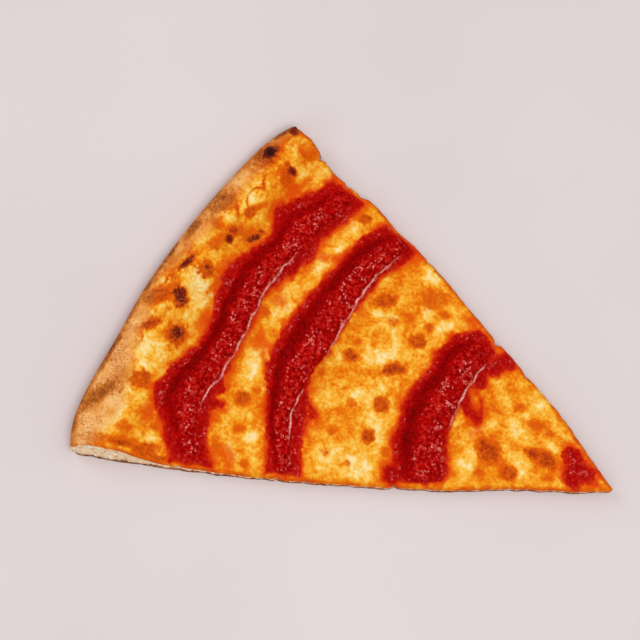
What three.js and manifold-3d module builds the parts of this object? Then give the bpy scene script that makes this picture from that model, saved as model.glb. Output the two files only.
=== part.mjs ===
// A slice of cheese pizza, an eighth of an 18 inch pie, lying flat on its base.
// The dough is one solid with a puffed rim. A sheet of melted cheese covers it from the tip to the rim's crown, and
// tomato sauce lies on the cheese in three ladled bands round the pie's middle, with a dab near the tip.
//
// Millimetres, +Z up. The tip points along +X and the rim lies towards -X. The origin is the middle of the
// bounding box, on the surface that the slice rests on.
//
// Every piece is a box warped into the pie's own coordinates:
//   along  0 at the tip, 1 at the outer edge of the rim
//   side   -1 at the cut on the -Y side, 1 at the cut on the +Y side
//   level  0 at the underside of the piece, 1 at its top

import * as THREE from "three";
import { mergeVertices } from "three/addons/utils/BufferGeometryUtils.js";
import { ImprovedNoise } from "three/addons/math/ImprovedNoise.js";
import Module from "manifold-3d";

const wasm = await Module();
wasm.setup();

const SLICE = {
  halfAngle: THREE.MathUtils.degToRad(22.6), // between the middle line and each cut
  length: 225, // tip to the outer edge of the rim, along the middle line
  skew: 13.3, // how much the -Y cut is longer than the +Y cut, halved
  flare: 8, // extra length of both cuts over the middle line
  cornerDrop: [5.2, 3.2], // how far the rim's corners are rounded back, at the -Y and +Y cuts
  cornerShare: 0.25, // share of the half width that the rounding takes
  flat: { side: -0.42, depth: 1.2, spread: 0.2 }, // a flatter stretch of the rim's outer edge
  tipHalfWidth: 1,
  bow: 5.5, // how far each cut bulges outwards halfway along
};

// Stretches where a cut runs further in than its even curve, or further out where the depth is negative: distance
// from the tip to their middle, the cut they are on (-1 or 1), depth and length.
const DENTS = [
  { reach: 187, cut: 1, depth: 3.2, length: 46 },
  { reach: 152, cut: 1, depth: 1.2, length: 26 },
  { reach: 94, cut: 1, depth: 0.8, length: 60 },
  { reach: 40, cut: 1, depth: -0.9, length: 50 },
  { reach: 44, cut: -1, depth: 1.2, length: 64 },
];

const DOUGH = {
  base: 4, // thickness under the cheese
  wave: 0.5, // height of the slow rise and fall of the base
  waveLength: 46,
  sunk: 1, // made this deep below the floor and then cut off flat
  tear: 0.5, // roughness of the cuts
  tearLength: 9,
};

const RIM = {
  width: [42, 26], // outer edge to the foot of its inner slope, at the -Y and +Y cuts
  rise: [10, 8.5], // crown above the base, at the -Y and +Y cuts
  drawnBack: [0.42, 0.05], // how far the top of each cut stands back from its foot, per millimetre of rise
  drawnShare: 0.12, // share of the half width over which the rim's top follows the drawn-back cut
  crown: 11, // outer edge to the crown
  edgeShare: 1.12, // over 1 leaves an upright outer wall below the crown's curve
  bulge: 1.6, // how far the outer wall swells
  undercut: 3.2, // how far its foot is tucked under
  wallShare: 0.06, // share of the length over which the wall's swelling fades
  lump: 1.1, // height of the bubbles along the rim
  lumpLength: 24,
};

const CHEESE = {
  thickness: 2,
  border: 3, // outer edge of the rim to the edge of the cheese, on the +Y half
  bareRim: 12, // how much further back it stands near the -Y cut
  bareSide: 0.8, // share of the -Y half over which it draws back
  borderWave: 2.5,
  thinning: 9, // distance over which it thins towards that edge
  edgeThickness: 0.7,
  ripple: 0.45,
  rippleLength: 11,
  gap: 0.3, // clearance to the dough below
  setIn: 0.5, // how far its cuts stand in from the torn cuts of the dough
};

// Blisters baked into the cheese: distance from the tip, angle off the middle line, width and rise.
const BLISTERS = [
  { reach: 216, bearing: -6.4, width: 9, rise: 1.4 },
  { reach: 210, bearing: -9.6, width: 11, rise: 1.6 },
  { reach: 222, bearing: -9.5, width: 10, rise: 1.0 },
  { reach: 208, bearing: -1.6, width: 11, rise: 1.3 },
  { reach: 216, bearing: 8.0, width: 9, rise: 1.2 },
  { reach: 204, bearing: 18.0, width: 10, rise: 1.3 },
  { reach: 211, bearing: -14.3, width: 9, rise: 1.1 },
  { reach: 204, bearing: -21.0, width: 10, rise: 1.2 },
  { reach: 150, bearing: -22.0, width: 8, rise: 0.8 },
  { reach: 123, bearing: 14.0, width: 10, rise: 0.9 },
  { reach: 110, bearing: 5.0, width: 12, rise: 1.0 },
  { reach: 105, bearing: 18.0, width: 9, rise: 0.8 },
  { reach: 108, bearing: -11.0, width: 9, rise: 0.8 },
  { reach: 113, bearing: -20.0, width: 9, rise: 0.7 },
  { reach: 57, bearing: -11.0, width: 13, rise: 1.2 },
  { reach: 33, bearing: -4.0, width: 12, rise: 1.2 },
  { reach: 48, bearing: -18.0, width: 9, rise: 0.8 },
];

// Each band of sauce is an arc round the pie's middle.
//   reach   distance from the tip, on the middle line
//   tilt    how much further out it runs at the +Y cut; negative is further in
//   hook    how much further out both of its ends turn; negative is further in
//   width   its width, and swells are places where it is wider: the side, and the extra width there
const SAUCE_BANDS = [
  {
    name: "sauce_band_outer",
    reach: 188,
    tilt: -5,
    hook: -4,
    width: 18,
    height: 5.2,
    swells: [{ side: -0.57, extra: 12 }, { side: 0.68, extra: 4 }, { side: -0.95, extra: 3 }],
  },
  {
    name: "sauce_band_middle",
    reach: 152,
    tilt: -1,
    hook: -7,
    width: 18,
    height: 4.8,
    swells: [{ side: -0.2, extra: 2 }, { side: 0.45, extra: 2 }],
  },
  {
    name: "sauce_band_inner",
    reach: 87,
    tilt: 0,
    hook: 3,
    width: 20,
    height: 4.6,
    swells: [{ side: -0.9, extra: 3 }, { side: 0.6, extra: 5 }],
  },
];

const SAUCE = {
  skirtShare: 0.26, // share of the half width that is a thin skirt round the ridge
  skirtHeight: 0.9,
  sideReach: 0.97, // how near to the cuts the bands run
  endFade: 0.09, // share of a band's length over which each end dies away
  endHeight: 0.45, // share of the ridge's height left at the ends
  swellShare: 0.22, // half the length of a swell, as a share of the slice's half width
  wander: 1.6, // how far the bands stray in and out
  wanderLength: 22,
  lumpiness: 0.22,
  lumpLength: 7,
  sunk: 1.2, // made this deep into the cheese and then cut back
};

const DAB = { reach: 18.5, bearing: 7, length: 17, width: 13, height: 1.6 };

const STEPS = {
  dough: { along: 32, across: 22, layers: 3, crowding: 1.4 },
  cheese: { along: 48, across: 32, layers: 1 },
  band: { along: 10, across: 30, layers: 1 },
  dab: { along: 8, across: 8, layers: 1 },
};

const COLOURS = {
  dough: 0xc98d4c,
  cheese: 0xf2a132,
  sauce: 0xa01008,
};

const perlin = new ImprovedNoise();

/** Smooth noise from -1 to 1 over the plan, with bumps about `size` millimetres across; `seed` picks a pattern. */
function ripple(x, y, size, seed) {
  return perlin.noise(x / size + seed * 17.3, y / size + seed * 5.1, seed * 3.7);
}

/** The value at `side` of a size that is given for the -Y cut and for the +Y cut. */
function acrossTheSlice([atMinus, atPlus], side) {
  return THREE.MathUtils.lerp(atMinus, atPlus, (side + 1) / 2);
}

/** Distance from the tip to the outer edge of the rim. */
function outerReach(side) {
  const corner = Math.max(0, (Math.abs(side) - 1 + SLICE.cornerShare) / SLICE.cornerShare);
  const drop = acrossTheSlice(SLICE.cornerDrop, Math.sign(side)) * corner ** 2;
  const flat = SLICE.flat.depth * Math.exp(-(((side - SLICE.flat.side) / SLICE.flat.spread) ** 2));
  return SLICE.length - SLICE.skew * side + SLICE.flare * side ** 2 - drop - flat;
}

/** How far in the nearer cut is dented at a distance `reach` from the tip. */
function dentDepth(reach, side) {
  let depth = 0;
  for (const dent of DENTS) {
    if (dent.cut !== Math.sign(side)) continue;
    depth += dent.depth * THREE.MathUtils.smoothstep(1 - Math.abs(2 * (reach - dent.reach)) / dent.length, 0, 1);
  }
  return depth;
}

/** The `along` of the place at a distance `reach` from the tip, on `side`. */
function alongOf(reach, side) {
  return reach / outerReach(side);
}

/** Height of the rim's swelling above the base. */
function rimRise(along, side) {
  const fromEdge = (1 - along) * outerReach(side);
  const width = acrossTheSlice(RIM.width, side);
  const lump = ripple(side * SLICE.halfAngle * SLICE.length, fromEdge, RIM.lumpLength, 1);
  const rise = acrossTheSlice(RIM.rise, side) + RIM.lump * lump;
  if (fromEdge >= width) return 0;
  if (fromEdge > RIM.crown) {
    return (rise * (1 + Math.cos((Math.PI * (fromEdge - RIM.crown)) / (width - RIM.crown)))) / 2;
  }
  return rise * Math.sqrt(1 - ((RIM.crown - fromEdge) / (RIM.crown * RIM.edgeShare)) ** 2);
}

/**
 * The plan point [x, y] at (along, side) and `level`, where the cuts of the rim draw back towards its top,
 * pushed `outward` past the rim and `sideways` past the cut.
 */
function planPoint(along, side, level = 1, outward = 0, sideways = 0) {
  const reach = along * outerReach(side) + outward;
  const bearing = side * SLICE.halfAngle;
  const nearCut = THREE.MathUtils.smoothstep(Math.abs(side), 1 - RIM.drawnShare * 2, 1);
  const back = acrossTheSlice(RIM.drawnBack, Math.sign(side)) * rimRise(along, side) * level * nearCut;
  const bow = 4 * SLICE.bow * along * (1 - along) + SLICE.tipHalfWidth - dentDepth(reach, side);
  const bulge = side * (bow - back) + sideways;
  return [
    -reach * Math.cos(bearing) + bulge * Math.sin(bearing),
    reach * Math.sin(bearing) + bulge * Math.cos(bearing),
  ];
}

/** Height of the dough's top. */
function doughTop(along, side) {
  const [x, y] = planPoint(along, side);
  return DOUGH.base + DOUGH.wave * ripple(x, y, DOUGH.waveLength, 2) + rimRise(along, side);
}

/** Height of the blisters at the plan point [x, y]. */
function blisterRise(x, y) {
  let rise = 0;
  for (const blister of BLISTERS) {
    const bearing = THREE.MathUtils.degToRad(blister.bearing);
    const dx = x + blister.reach * Math.cos(bearing);
    const dy = y - blister.reach * Math.sin(bearing);
    const near = 1 - (4 * (dx * dx + dy * dy)) / blister.width ** 2;
    if (near > 0) rise = Math.max(rise, blister.rise * Math.sqrt(near));
  }
  return rise;
}

/** Share of the length at which the cheese ends on the rim. */
function cheeseEdge(side) {
  const bare = CHEESE.bareRim * THREE.MathUtils.smoothstep(-side, 0, CHEESE.bareSide);
  const wave = CHEESE.borderWave * Math.abs(ripple(side * SLICE.halfAngle * SLICE.length, 0, 16, 3));
  return 1 - (CHEESE.border + bare + wave) / outerReach(side);
}

/** Height of the cheese's top. */
function cheeseTop(along, side) {
  const [x, y] = planPoint(along, side);
  const fromEdge = (cheeseEdge(side) - along) * outerReach(side);
  const full = THREE.MathUtils.clamp(fromEdge / CHEESE.thinning, 0, 1);
  const melt = CHEESE.thickness + CHEESE.ripple * ripple(x, y, CHEESE.rippleLength, 4);
  const thickness = THREE.MathUtils.lerp(CHEESE.edgeThickness, melt, full);
  return doughTop(along, side) + CHEESE.gap + thickness + full * blisterRise(x, y);
}

/** A solid from a closed three.js geometry. */
function solidFrom(geometry) {
  const shape = geometry.index ? geometry.toNonIndexed() : geometry.clone();
  shape.deleteAttribute("normal");
  shape.deleteAttribute("uv");
  const merged = mergeVertices(shape, 1e-4);
  return new wasm.Manifold(
    new wasm.Mesh({
      numProp: 3,
      vertProperties: merged.getAttribute("position").array,
      triVerts: new Uint32Array(merged.index.array),
    }),
  );
}

/** A box of steps.along by steps.across by steps.layers cells whose corners go where `place` puts them. */
function warpedBox(steps, place) {
  const box = new THREE.BoxGeometry(1, 1, 1, steps.along, steps.across, steps.layers);
  const position = box.getAttribute("position");
  const corner = new THREE.Vector3();
  for (let i = 0; i < position.count; i++) {
    corner.fromBufferAttribute(position, i);
    const along = 0.5 - corner.x;
    const side = 2 * corner.y;
    const level = 0.5 + corner.z;
    position.setXYZ(i, ...place(along, side, level));
  }
  return solidFrom(box);
}

/** The dough, raised by `lift` and reaching down to `sunk` below the floor. */
function doughSlab(lift = 0) {
  return warpedBox(STEPS.dough, (share, evenSide, level) => {
    const along = 1 - (1 - share) ** STEPS.dough.crowding;
    const side = THREE.MathUtils.lerp(evenSide, Math.sin((evenSide * Math.PI) / 2), 0.5);
    const top = doughTop(along, side) + lift;
    const [x, y] = planPoint(along, side);
    const wall = THREE.MathUtils.smoothstep(along, 1 - RIM.wallShare, 1);
    const outward = wall * (RIM.bulge * Math.sin(Math.PI * level) - RIM.undercut * (1 - level) ** 3);
    const torn = side ** 8 * DOUGH.tear * ripple(x + y, 8 * level, DOUGH.tearLength, 5);
    return [...planPoint(along, side, level, outward, torn), THREE.MathUtils.lerp(-DOUGH.sunk, top, level)];
  });
}

/** A slab under the floor, to cut the dough's base flat. */
function floorSlab() {
  const size = 3 * SLICE.length;
  const slab = new THREE.BoxGeometry(size, size, 2 * DOUGH.sunk + 2);
  slab.translate(0, 0, -DOUGH.sunk - 1);
  return solidFrom(slab);
}

/** The cheese, raised by `lift`. It is made down into the dough, to be cut back from it. */
function cheeseSlab(lift = 0) {
  return warpedBox(STEPS.cheese, (share, side, level) => {
    const along = THREE.MathUtils.lerp(CHEESE.setIn / SLICE.length, cheeseEdge(side), share);
    const depth = (1 - level) * (CHEESE.thickness + CHEESE.gap + 1);
    return [...planPoint(along, side, 1, 0, -CHEESE.setIn * side), cheeseTop(along, side) + lift - depth];
  });
}

/** Distance from the tip to the middle of a band. */
function bandReach(band, side) {
  const wander = SAUCE.wander * ripple(side * SLICE.halfAngle * band.reach, band.reach, SAUCE.wanderLength, 7);
  return band.reach + band.tilt * side + band.hook * side ** 4 + wander;
}

/** Width of a band. */
function bandWidth(band, side) {
  let width = band.width;
  for (const swell of band.swells) {
    width += swell.extra * Math.exp(-(((side - swell.side) / SAUCE.swellShare) ** 2));
  }
  return width;
}

/** Height of a band above the cheese, `across` from -1 to 1 over its width and `end` from -1 to 1 along it. */
function bandHeight(band, across, end) {
  const ridge = Math.max(0, 1 - (Math.abs(across) / (1 - SAUCE.skirtShare)) ** 2.6) ** 0.6;
  const body = THREE.MathUtils.smoothstep(1 - Math.abs(end), 0, SAUCE.endFade * 2);
  const full = THREE.MathUtils.lerp(SAUCE.endHeight, 1, body);
  return SAUCE.skirtHeight + (band.height - SAUCE.skirtHeight) * ridge * full;
}

/** A band of sauce lying on the cheese. */
function sauceBand(band) {
  return warpedBox(STEPS.band, (share, end, level) => {
    const across = 2 * share - 1;
    const side = end * SAUCE.sideReach;
    const along = alongOf(bandReach(band, side) + (across * bandWidth(band, side)) / 2, side);
    const [x, y] = planPoint(along, side);
    const lumps = 1 + SAUCE.lumpiness * ripple(x, y, SAUCE.lumpLength, 6);
    const height = bandHeight(band, across, end) * lumps;
    return [x, y, cheeseTop(along, side) + THREE.MathUtils.lerp(-SAUCE.sunk, CHEESE.gap + height, level)];
  });
}

/** The thin round dab of sauce near the tip. */
function sauceDab() {
  return warpedBox(STEPS.dab, (share, end, level) => {
    // The square of the box's plan becomes a disc.
    const across = 2 * share - 1;
    const u = across * Math.sqrt(1 - end ** 2 / 2);
    const v = end * Math.sqrt(1 - across ** 2 / 2);
    const bearing = THREE.MathUtils.degToRad(DAB.bearing);
    const reach = DAB.reach + (u * DAB.length) / 2;
    const aside = reach * Math.tan(bearing) + (v * DAB.width) / 2;
    const side = THREE.MathUtils.clamp(Math.atan2(aside, reach) / SLICE.halfAngle, -0.9, 0.9);
    const along = alongOf(Math.hypot(aside, reach), side);
    const height = DAB.height * (1 - 0.6 * (u * u + v * v));
    return [
      ...planPoint(along, side),
      cheeseTop(along, side) + THREE.MathUtils.lerp(-SAUCE.sunk, CHEESE.gap + height, level),
    ];
  });
}

/** A named mesh from a solid. */
function meshFrom(name, solid, colour, roughness) {
  const { numProp, vertProperties, triVerts } = solid.getMesh();
  if (numProp !== 3) throw new Error(`${name} carries more than its positions`);
  const geometry = new THREE.BufferGeometry();
  geometry.setAttribute("position", new THREE.BufferAttribute(vertProperties, 3));
  geometry.setIndex(new THREE.BufferAttribute(triVerts, 1));
  geometry.computeVertexNormals();
  const material = new THREE.MeshStandardMaterial({ color: colour, roughness, metalness: 0 });
  const mesh = new THREE.Mesh(geometry, material);
  mesh.name = name;
  return mesh;
}

const slice = new THREE.Group();
const cheeseAbove = cheeseSlab(CHEESE.gap);

slice.add(meshFrom("dough", doughSlab().subtract(floorSlab()), COLOURS.dough, 0.85));
slice.add(meshFrom("cheese", cheeseSlab().subtract(doughSlab(CHEESE.gap)), COLOURS.cheese, 0.45));
for (const band of SAUCE_BANDS) {
  slice.add(meshFrom(band.name, sauceBand(band).subtract(cheeseAbove), COLOURS.sauce, 0.35));
}
slice.add(meshFrom("sauce_dab_tip", sauceDab().subtract(cheeseAbove), COLOURS.sauce, 0.35));

// The pie's middle is the frame of the shapes, and the middle of the bounding box is the part's origin.
const middle = new THREE.Box3().setFromObject(slice).getCenter(new THREE.Vector3());
slice.position.set(-middle.x, -middle.y, 0);

export default slice;
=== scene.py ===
"""A slice of cheese pizza with three thick bands of tomato sauce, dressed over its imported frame.

Shapes are worked out in millimetres in the pie's own plan: the tip of the slice is at 0, 0, its rim lies
towards -X, and its shorter cut is on the +Y side. They are moved into the frame when they become meshes.

    reach  distance from the tip
    side   -1 at the cut on the -Y side, 0 on the middle line, 1 at the cut on the +Y side
    along  reach as a share of the slice's length there, 1 at the outer edge of the rim
"""

import itertools
import logging
import math
from collections.abc import Callable, Mapping, Sequence
from dataclasses import dataclass
from enum import Enum, IntEnum

import bmesh
import bpy
import numpy as np
from mathutils import Matrix, Vector


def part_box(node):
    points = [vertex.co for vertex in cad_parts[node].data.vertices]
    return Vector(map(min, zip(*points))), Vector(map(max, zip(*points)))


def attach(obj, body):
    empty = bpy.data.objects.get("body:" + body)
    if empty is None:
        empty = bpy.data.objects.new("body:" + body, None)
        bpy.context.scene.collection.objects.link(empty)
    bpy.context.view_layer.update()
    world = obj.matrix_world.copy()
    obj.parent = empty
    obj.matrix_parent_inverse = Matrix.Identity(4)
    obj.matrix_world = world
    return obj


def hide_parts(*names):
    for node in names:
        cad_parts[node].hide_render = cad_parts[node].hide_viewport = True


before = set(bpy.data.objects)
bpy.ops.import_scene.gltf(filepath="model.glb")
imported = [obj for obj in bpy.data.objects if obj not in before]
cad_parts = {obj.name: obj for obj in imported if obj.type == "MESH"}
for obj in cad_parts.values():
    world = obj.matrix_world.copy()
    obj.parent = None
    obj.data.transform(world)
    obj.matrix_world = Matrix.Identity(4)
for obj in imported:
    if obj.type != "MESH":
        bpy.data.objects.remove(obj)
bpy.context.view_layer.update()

LOG = logging.getLogger("slice")
MILLIMETRE = 0.001
BODY = "root"
# Inputs of the top's shader group. The meshes carry their values under the same names in lower case.
PAINTED = ("Cover", "Pale", "Brown", "Char", "Stain", "Flour")
# A place nearer to a face than this lies on it.
TOUCHING = 0.01

Array = np.ndarray
Colour = tuple[float, float, float, float]
Tones = tuple[tuple[float, Colour], ...]
Signal = bpy.types.NodeSocket
Feed = Signal | float | tuple


def srgb(red: int, green: int, blue: int) -> Colour:
    """Linear colour from display values of 0 to 255.

    Args:
        red: Display value of red.
        green: Display value of green.
        blue: Display value of blue.

    Returns:
        The linear colour with an alpha of 1.
    """
    linear = []
    for value in (red, green, blue):
        share = value / 255
        linear.append(share / 12.92 if share <= 0.04045 else ((share + 0.055) / 1.055) ** 2.4)
    return (*linear, 1.0)


def rising(value: Array, low: float, high: float) -> Array:
    """A smooth ramp from 0 at low to 1 at high."""
    share = np.clip((value - low) / (high - low), 0, 1)
    return share * share * (3 - 2 * share)


def falling(value: Array, low: float, high: float) -> Array:
    """A smooth ramp from 1 at low to 0 at high."""
    return rising(-value, -high, -low)


def blended_max(first: Array, second: Array, blend: float) -> Array:
    """The larger of two heights, with the valley between them filled over about blend millimetres."""
    share = np.clip(0.5 + 0.5 * (first - second) / blend, 0, 1)
    return second + (first - second) * share + blend * share * (1 - share) / 2


def flowing(at: Array, places: Sequence[float], values: Sequence[float]) -> Array:
    """Values on a smooth curve through given ones.

    Args:
        at: Where the curve is read.
        places: Where the values are set, in rising order.
        values: The values set there.

    Returns:
        The curve's value at each place asked for.
    """
    known_at, known = np.asarray(places, float), np.asarray(values, float)
    slopes = np.gradient(known, known_at)
    at = np.clip(at, known_at[0], known_at[-1])
    left = np.clip(np.searchsorted(known_at, at) - 1, 0, len(known_at) - 2)
    step = known_at[left + 1] - known_at[left]
    share = (at - known_at[left]) / step
    start = (1 + 2 * share) * (1 - share) ** 2 * known[left] + share * (1 - share) ** 2 * step * slopes[left]
    rest = share**2 * (3 - 2 * share) * known[left + 1] + share**2 * (share - 1) * step * slopes[left + 1]
    return start + rest


# ------------------------------------------------------------------------------------------------ noise


class Seed(IntEnum):
    """Picks the pattern of each noise."""

    RIM_LUMPS = 11
    SMALL_LUMPS = 12
    BASE_WAVE = 13
    TEARS = 15
    FINE_TEARS = 16
    UNDERSIDE = 17
    DOUGH = 18
    FINE_DOUGH = 19
    SPOT_EDGES = 21
    COVER_EDGE = 22
    CHEESE_EDGE = 23
    PALE_EDGES = 24
    STAIN_EDGES = 25
    HOLES = 27
    SMALL_HOLES = 28
    RIM_PATCHES = 31
    FLOUR = 32
    LEDGE = 33
    MELT = 34
    FINE_MELT = 35
    FINEST_MELT = 36
    RIM_SPECKLES = 37
    FOLDS = 38
    BUBBLES = 39
    FOLD_SHADE = 40
    FOOT = 41
    WALL_FLOUR = 42
    OUTER_BAND = 51
    MIDDLE_BAND = 61
    INNER_BAND = 71
    TIP_DAB = 81


class SaucePattern(IntEnum):
    """What is added to a sauce's seed for each of its own patterns."""

    OUTLINE = 0
    FINE_OUTLINE = 1
    FOOT = 2
    LUMPS = 3
    PULP = 4
    GRAINS = 5
    MOUNDS = 6
    SHORE = 7


@dataclass(frozen=True)
class Noise:
    """Seeded noise over the plan.

    Attributes:
        seed: Picks the pattern.
    """

    seed: int

    def _draw(self, column: Array, row: Array, salt: int = 0) -> Array:
        """A random value for each cell of a square lattice.

        Args:
            column: Columns of the cells.
            row: Rows of the cells.
            salt: Picks one of several values for a cell.

        Returns:
            The values, 0 to 1.
        """
        # Large odd factors and shifts scatter the bits of the whole number.
        mask = 0xFFFFFFFF
        mixed = (column * 374761393 + row * 668265263 + (self.seed * 31 + salt) * 974634777) & mask
        mixed = ((mixed ^ (mixed >> 13)) * 1274126177) & mask
        mixed = ((mixed ^ (mixed >> 15)) * 2246822519) & mask
        return (mixed ^ (mixed >> 16)) / mask

    def smooth(self, x: Array, y: Array, size: float) -> Array:
        """Gradient noise.

        Args:
            x: Plan coordinate in millimetres.
            y: Plan coordinate in millimetres.
            size: Width of a bump in millimetres.

        Returns:
            The noise at each point, about -1 to 1.
        """
        x, y = np.asarray(x, float) / size, np.asarray(y, float) / size
        column, row = np.floor(x).astype(np.int64), np.floor(y).astype(np.int64)
        across, up = x - column, y - row

        def corner(dx: int, dy: int) -> Array:
            """The slope of one lattice corner, read at the point."""
            turn = self._draw(column + dx, row + dy) * 2 * math.pi
            return np.cos(turn) * (across - dx) + np.sin(turn) * (up - dy)

        blend_x = across**3 * (across * (across * 6 - 15) + 10)
        blend_y = up**3 * (up * (up * 6 - 15) + 10)
        low = corner(0, 0) + blend_x * (corner(1, 0) - corner(0, 0))
        high = corner(0, 1) + blend_x * (corner(1, 1) - corner(0, 1))
        return 1.5 * (low + blend_y * (high - low))

    def layered(self, x: Array, y: Array, size: float, layers: int = 3) -> Array:
        """Noise of several sizes, each half as wide and about half as strong as the one before.

        Args:
            x: Plan coordinate in millimetres.
            y: Plan coordinate in millimetres.
            size: Width of the widest bumps in millimetres.
            layers: How many sizes there are.

        Returns:
            The noise at each point.
        """
        total = np.zeros(np.shape(x))
        for layer in range(layers):
            total = total + Noise(self.seed + 101 * layer).smooth(x, y, size / 2**layer) * 0.55**layer
        return total

    def grains(self, x: Array, y: Array, size: float, share: float = 1.0) -> Array:
        """Round grains or pits scattered one to a lattice cell.

        Args:
            x: Plan coordinate in millimetres.
            y: Plan coordinate in millimetres.
            size: Width of a lattice cell in millimetres.
            share: Width of the largest grain as a share of its cell.

        Returns:
            The height at each point, 0 between the grains and 1 at their middles.
        """
        x, y = np.asarray(x, float) / size, np.asarray(y, float) / size
        column, row = np.floor(x).astype(np.int64), np.floor(y).astype(np.int64)
        height = np.zeros(np.shape(x))
        for dx, dy in itertools.product((-1, 0, 1), repeat=2):
            cx, cy = column + dx, row + dy
            middle_x, middle_y = cx + self._draw(cx, cy, 1), cy + self._draw(cx, cy, 2)
            radius = share * (0.3 + 0.3 * self._draw(cx, cy, 3))
            near = 1 - ((x - middle_x) ** 2 + (y - middle_y) ** 2) / radius**2
            height = np.maximum(height, np.sqrt(np.clip(near, 0, 1)))
        return height


# ------------------------------------------------------------------------------------------------ plan


@dataclass(frozen=True)
class Notch:
    """A place where the knife tore the cut.

    Attributes:
        reach: Distance from the tip.
        hand: -1 on the -Y cut, 1 on the +Y cut.
        depth: How far the cut is torn in.
        width: Length of the torn stretch.
    """

    reach: float
    hand: int
    depth: float
    width: float


NOTCHES: tuple[Notch, ...] = (
    Notch(198, 1, 1.6, 4.5),
    Notch(181, 1, 0.8, 4),
    Notch(173, 1, 1.2, 6),
    Notch(131, 1, 0.7, 4),
    Notch(83, 1, 1.4, 4),
    Notch(63, 1, 0.6, 4),
    Notch(150, -1, 0.7, 3),
    Notch(97, -1, 0.8, 4),
)

# Long stretches where a cut runs further in than its even curve, or further out where the depth is negative.
DENTS: tuple[Notch, ...] = (
    Notch(187, 1, 3.2, 46),
    Notch(152, 1, 1.2, 26),
    Notch(94, 1, 0.8, 60),
    Notch(40, 1, -0.9, 50),
    Notch(44, -1, 1.2, 64),
)


def torn_in(notches: Sequence[Notch], reach: Array, side: Array) -> Array:
    """How far some notches set the nearer cut in.

    Args:
        notches: The notches of both cuts.
        reach: Distances from the tip.
        side: Places between the cuts.

    Returns:
        The distance at each place.
    """
    hand = np.where(side < 0, -1, 1)
    depth = np.zeros(np.shape(reach))
    for notch in notches:
        near = 1 - np.abs(2 * (reach - notch.reach) / notch.width)
        depth = depth + np.where(hand == notch.hand, notch.depth * rising(near, 0, 1), 0)
    return depth


@dataclass(frozen=True)
class Places:
    """Many places on the slice at once.

    Attributes:
        along: Share of the way from the tip to the outer edge of the rim.
        side: Place between the two cuts.
        x: Plan coordinate.
        y: Plan coordinate.
        reach: Distance from the tip.
        from_edge: Distance to the outer edge of the rim.
        from_cut: Distance to the nearer cut.
    """

    along: Array
    side: Array
    x: Array
    y: Array
    reach: Array
    from_edge: Array
    from_cut: Array

    def noise(self, seed: int, size: float, layers: int = 3) -> Array:
        """Layered noise at the places."""
        return Noise(seed).layered(self.x, self.y, size, layers)


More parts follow.
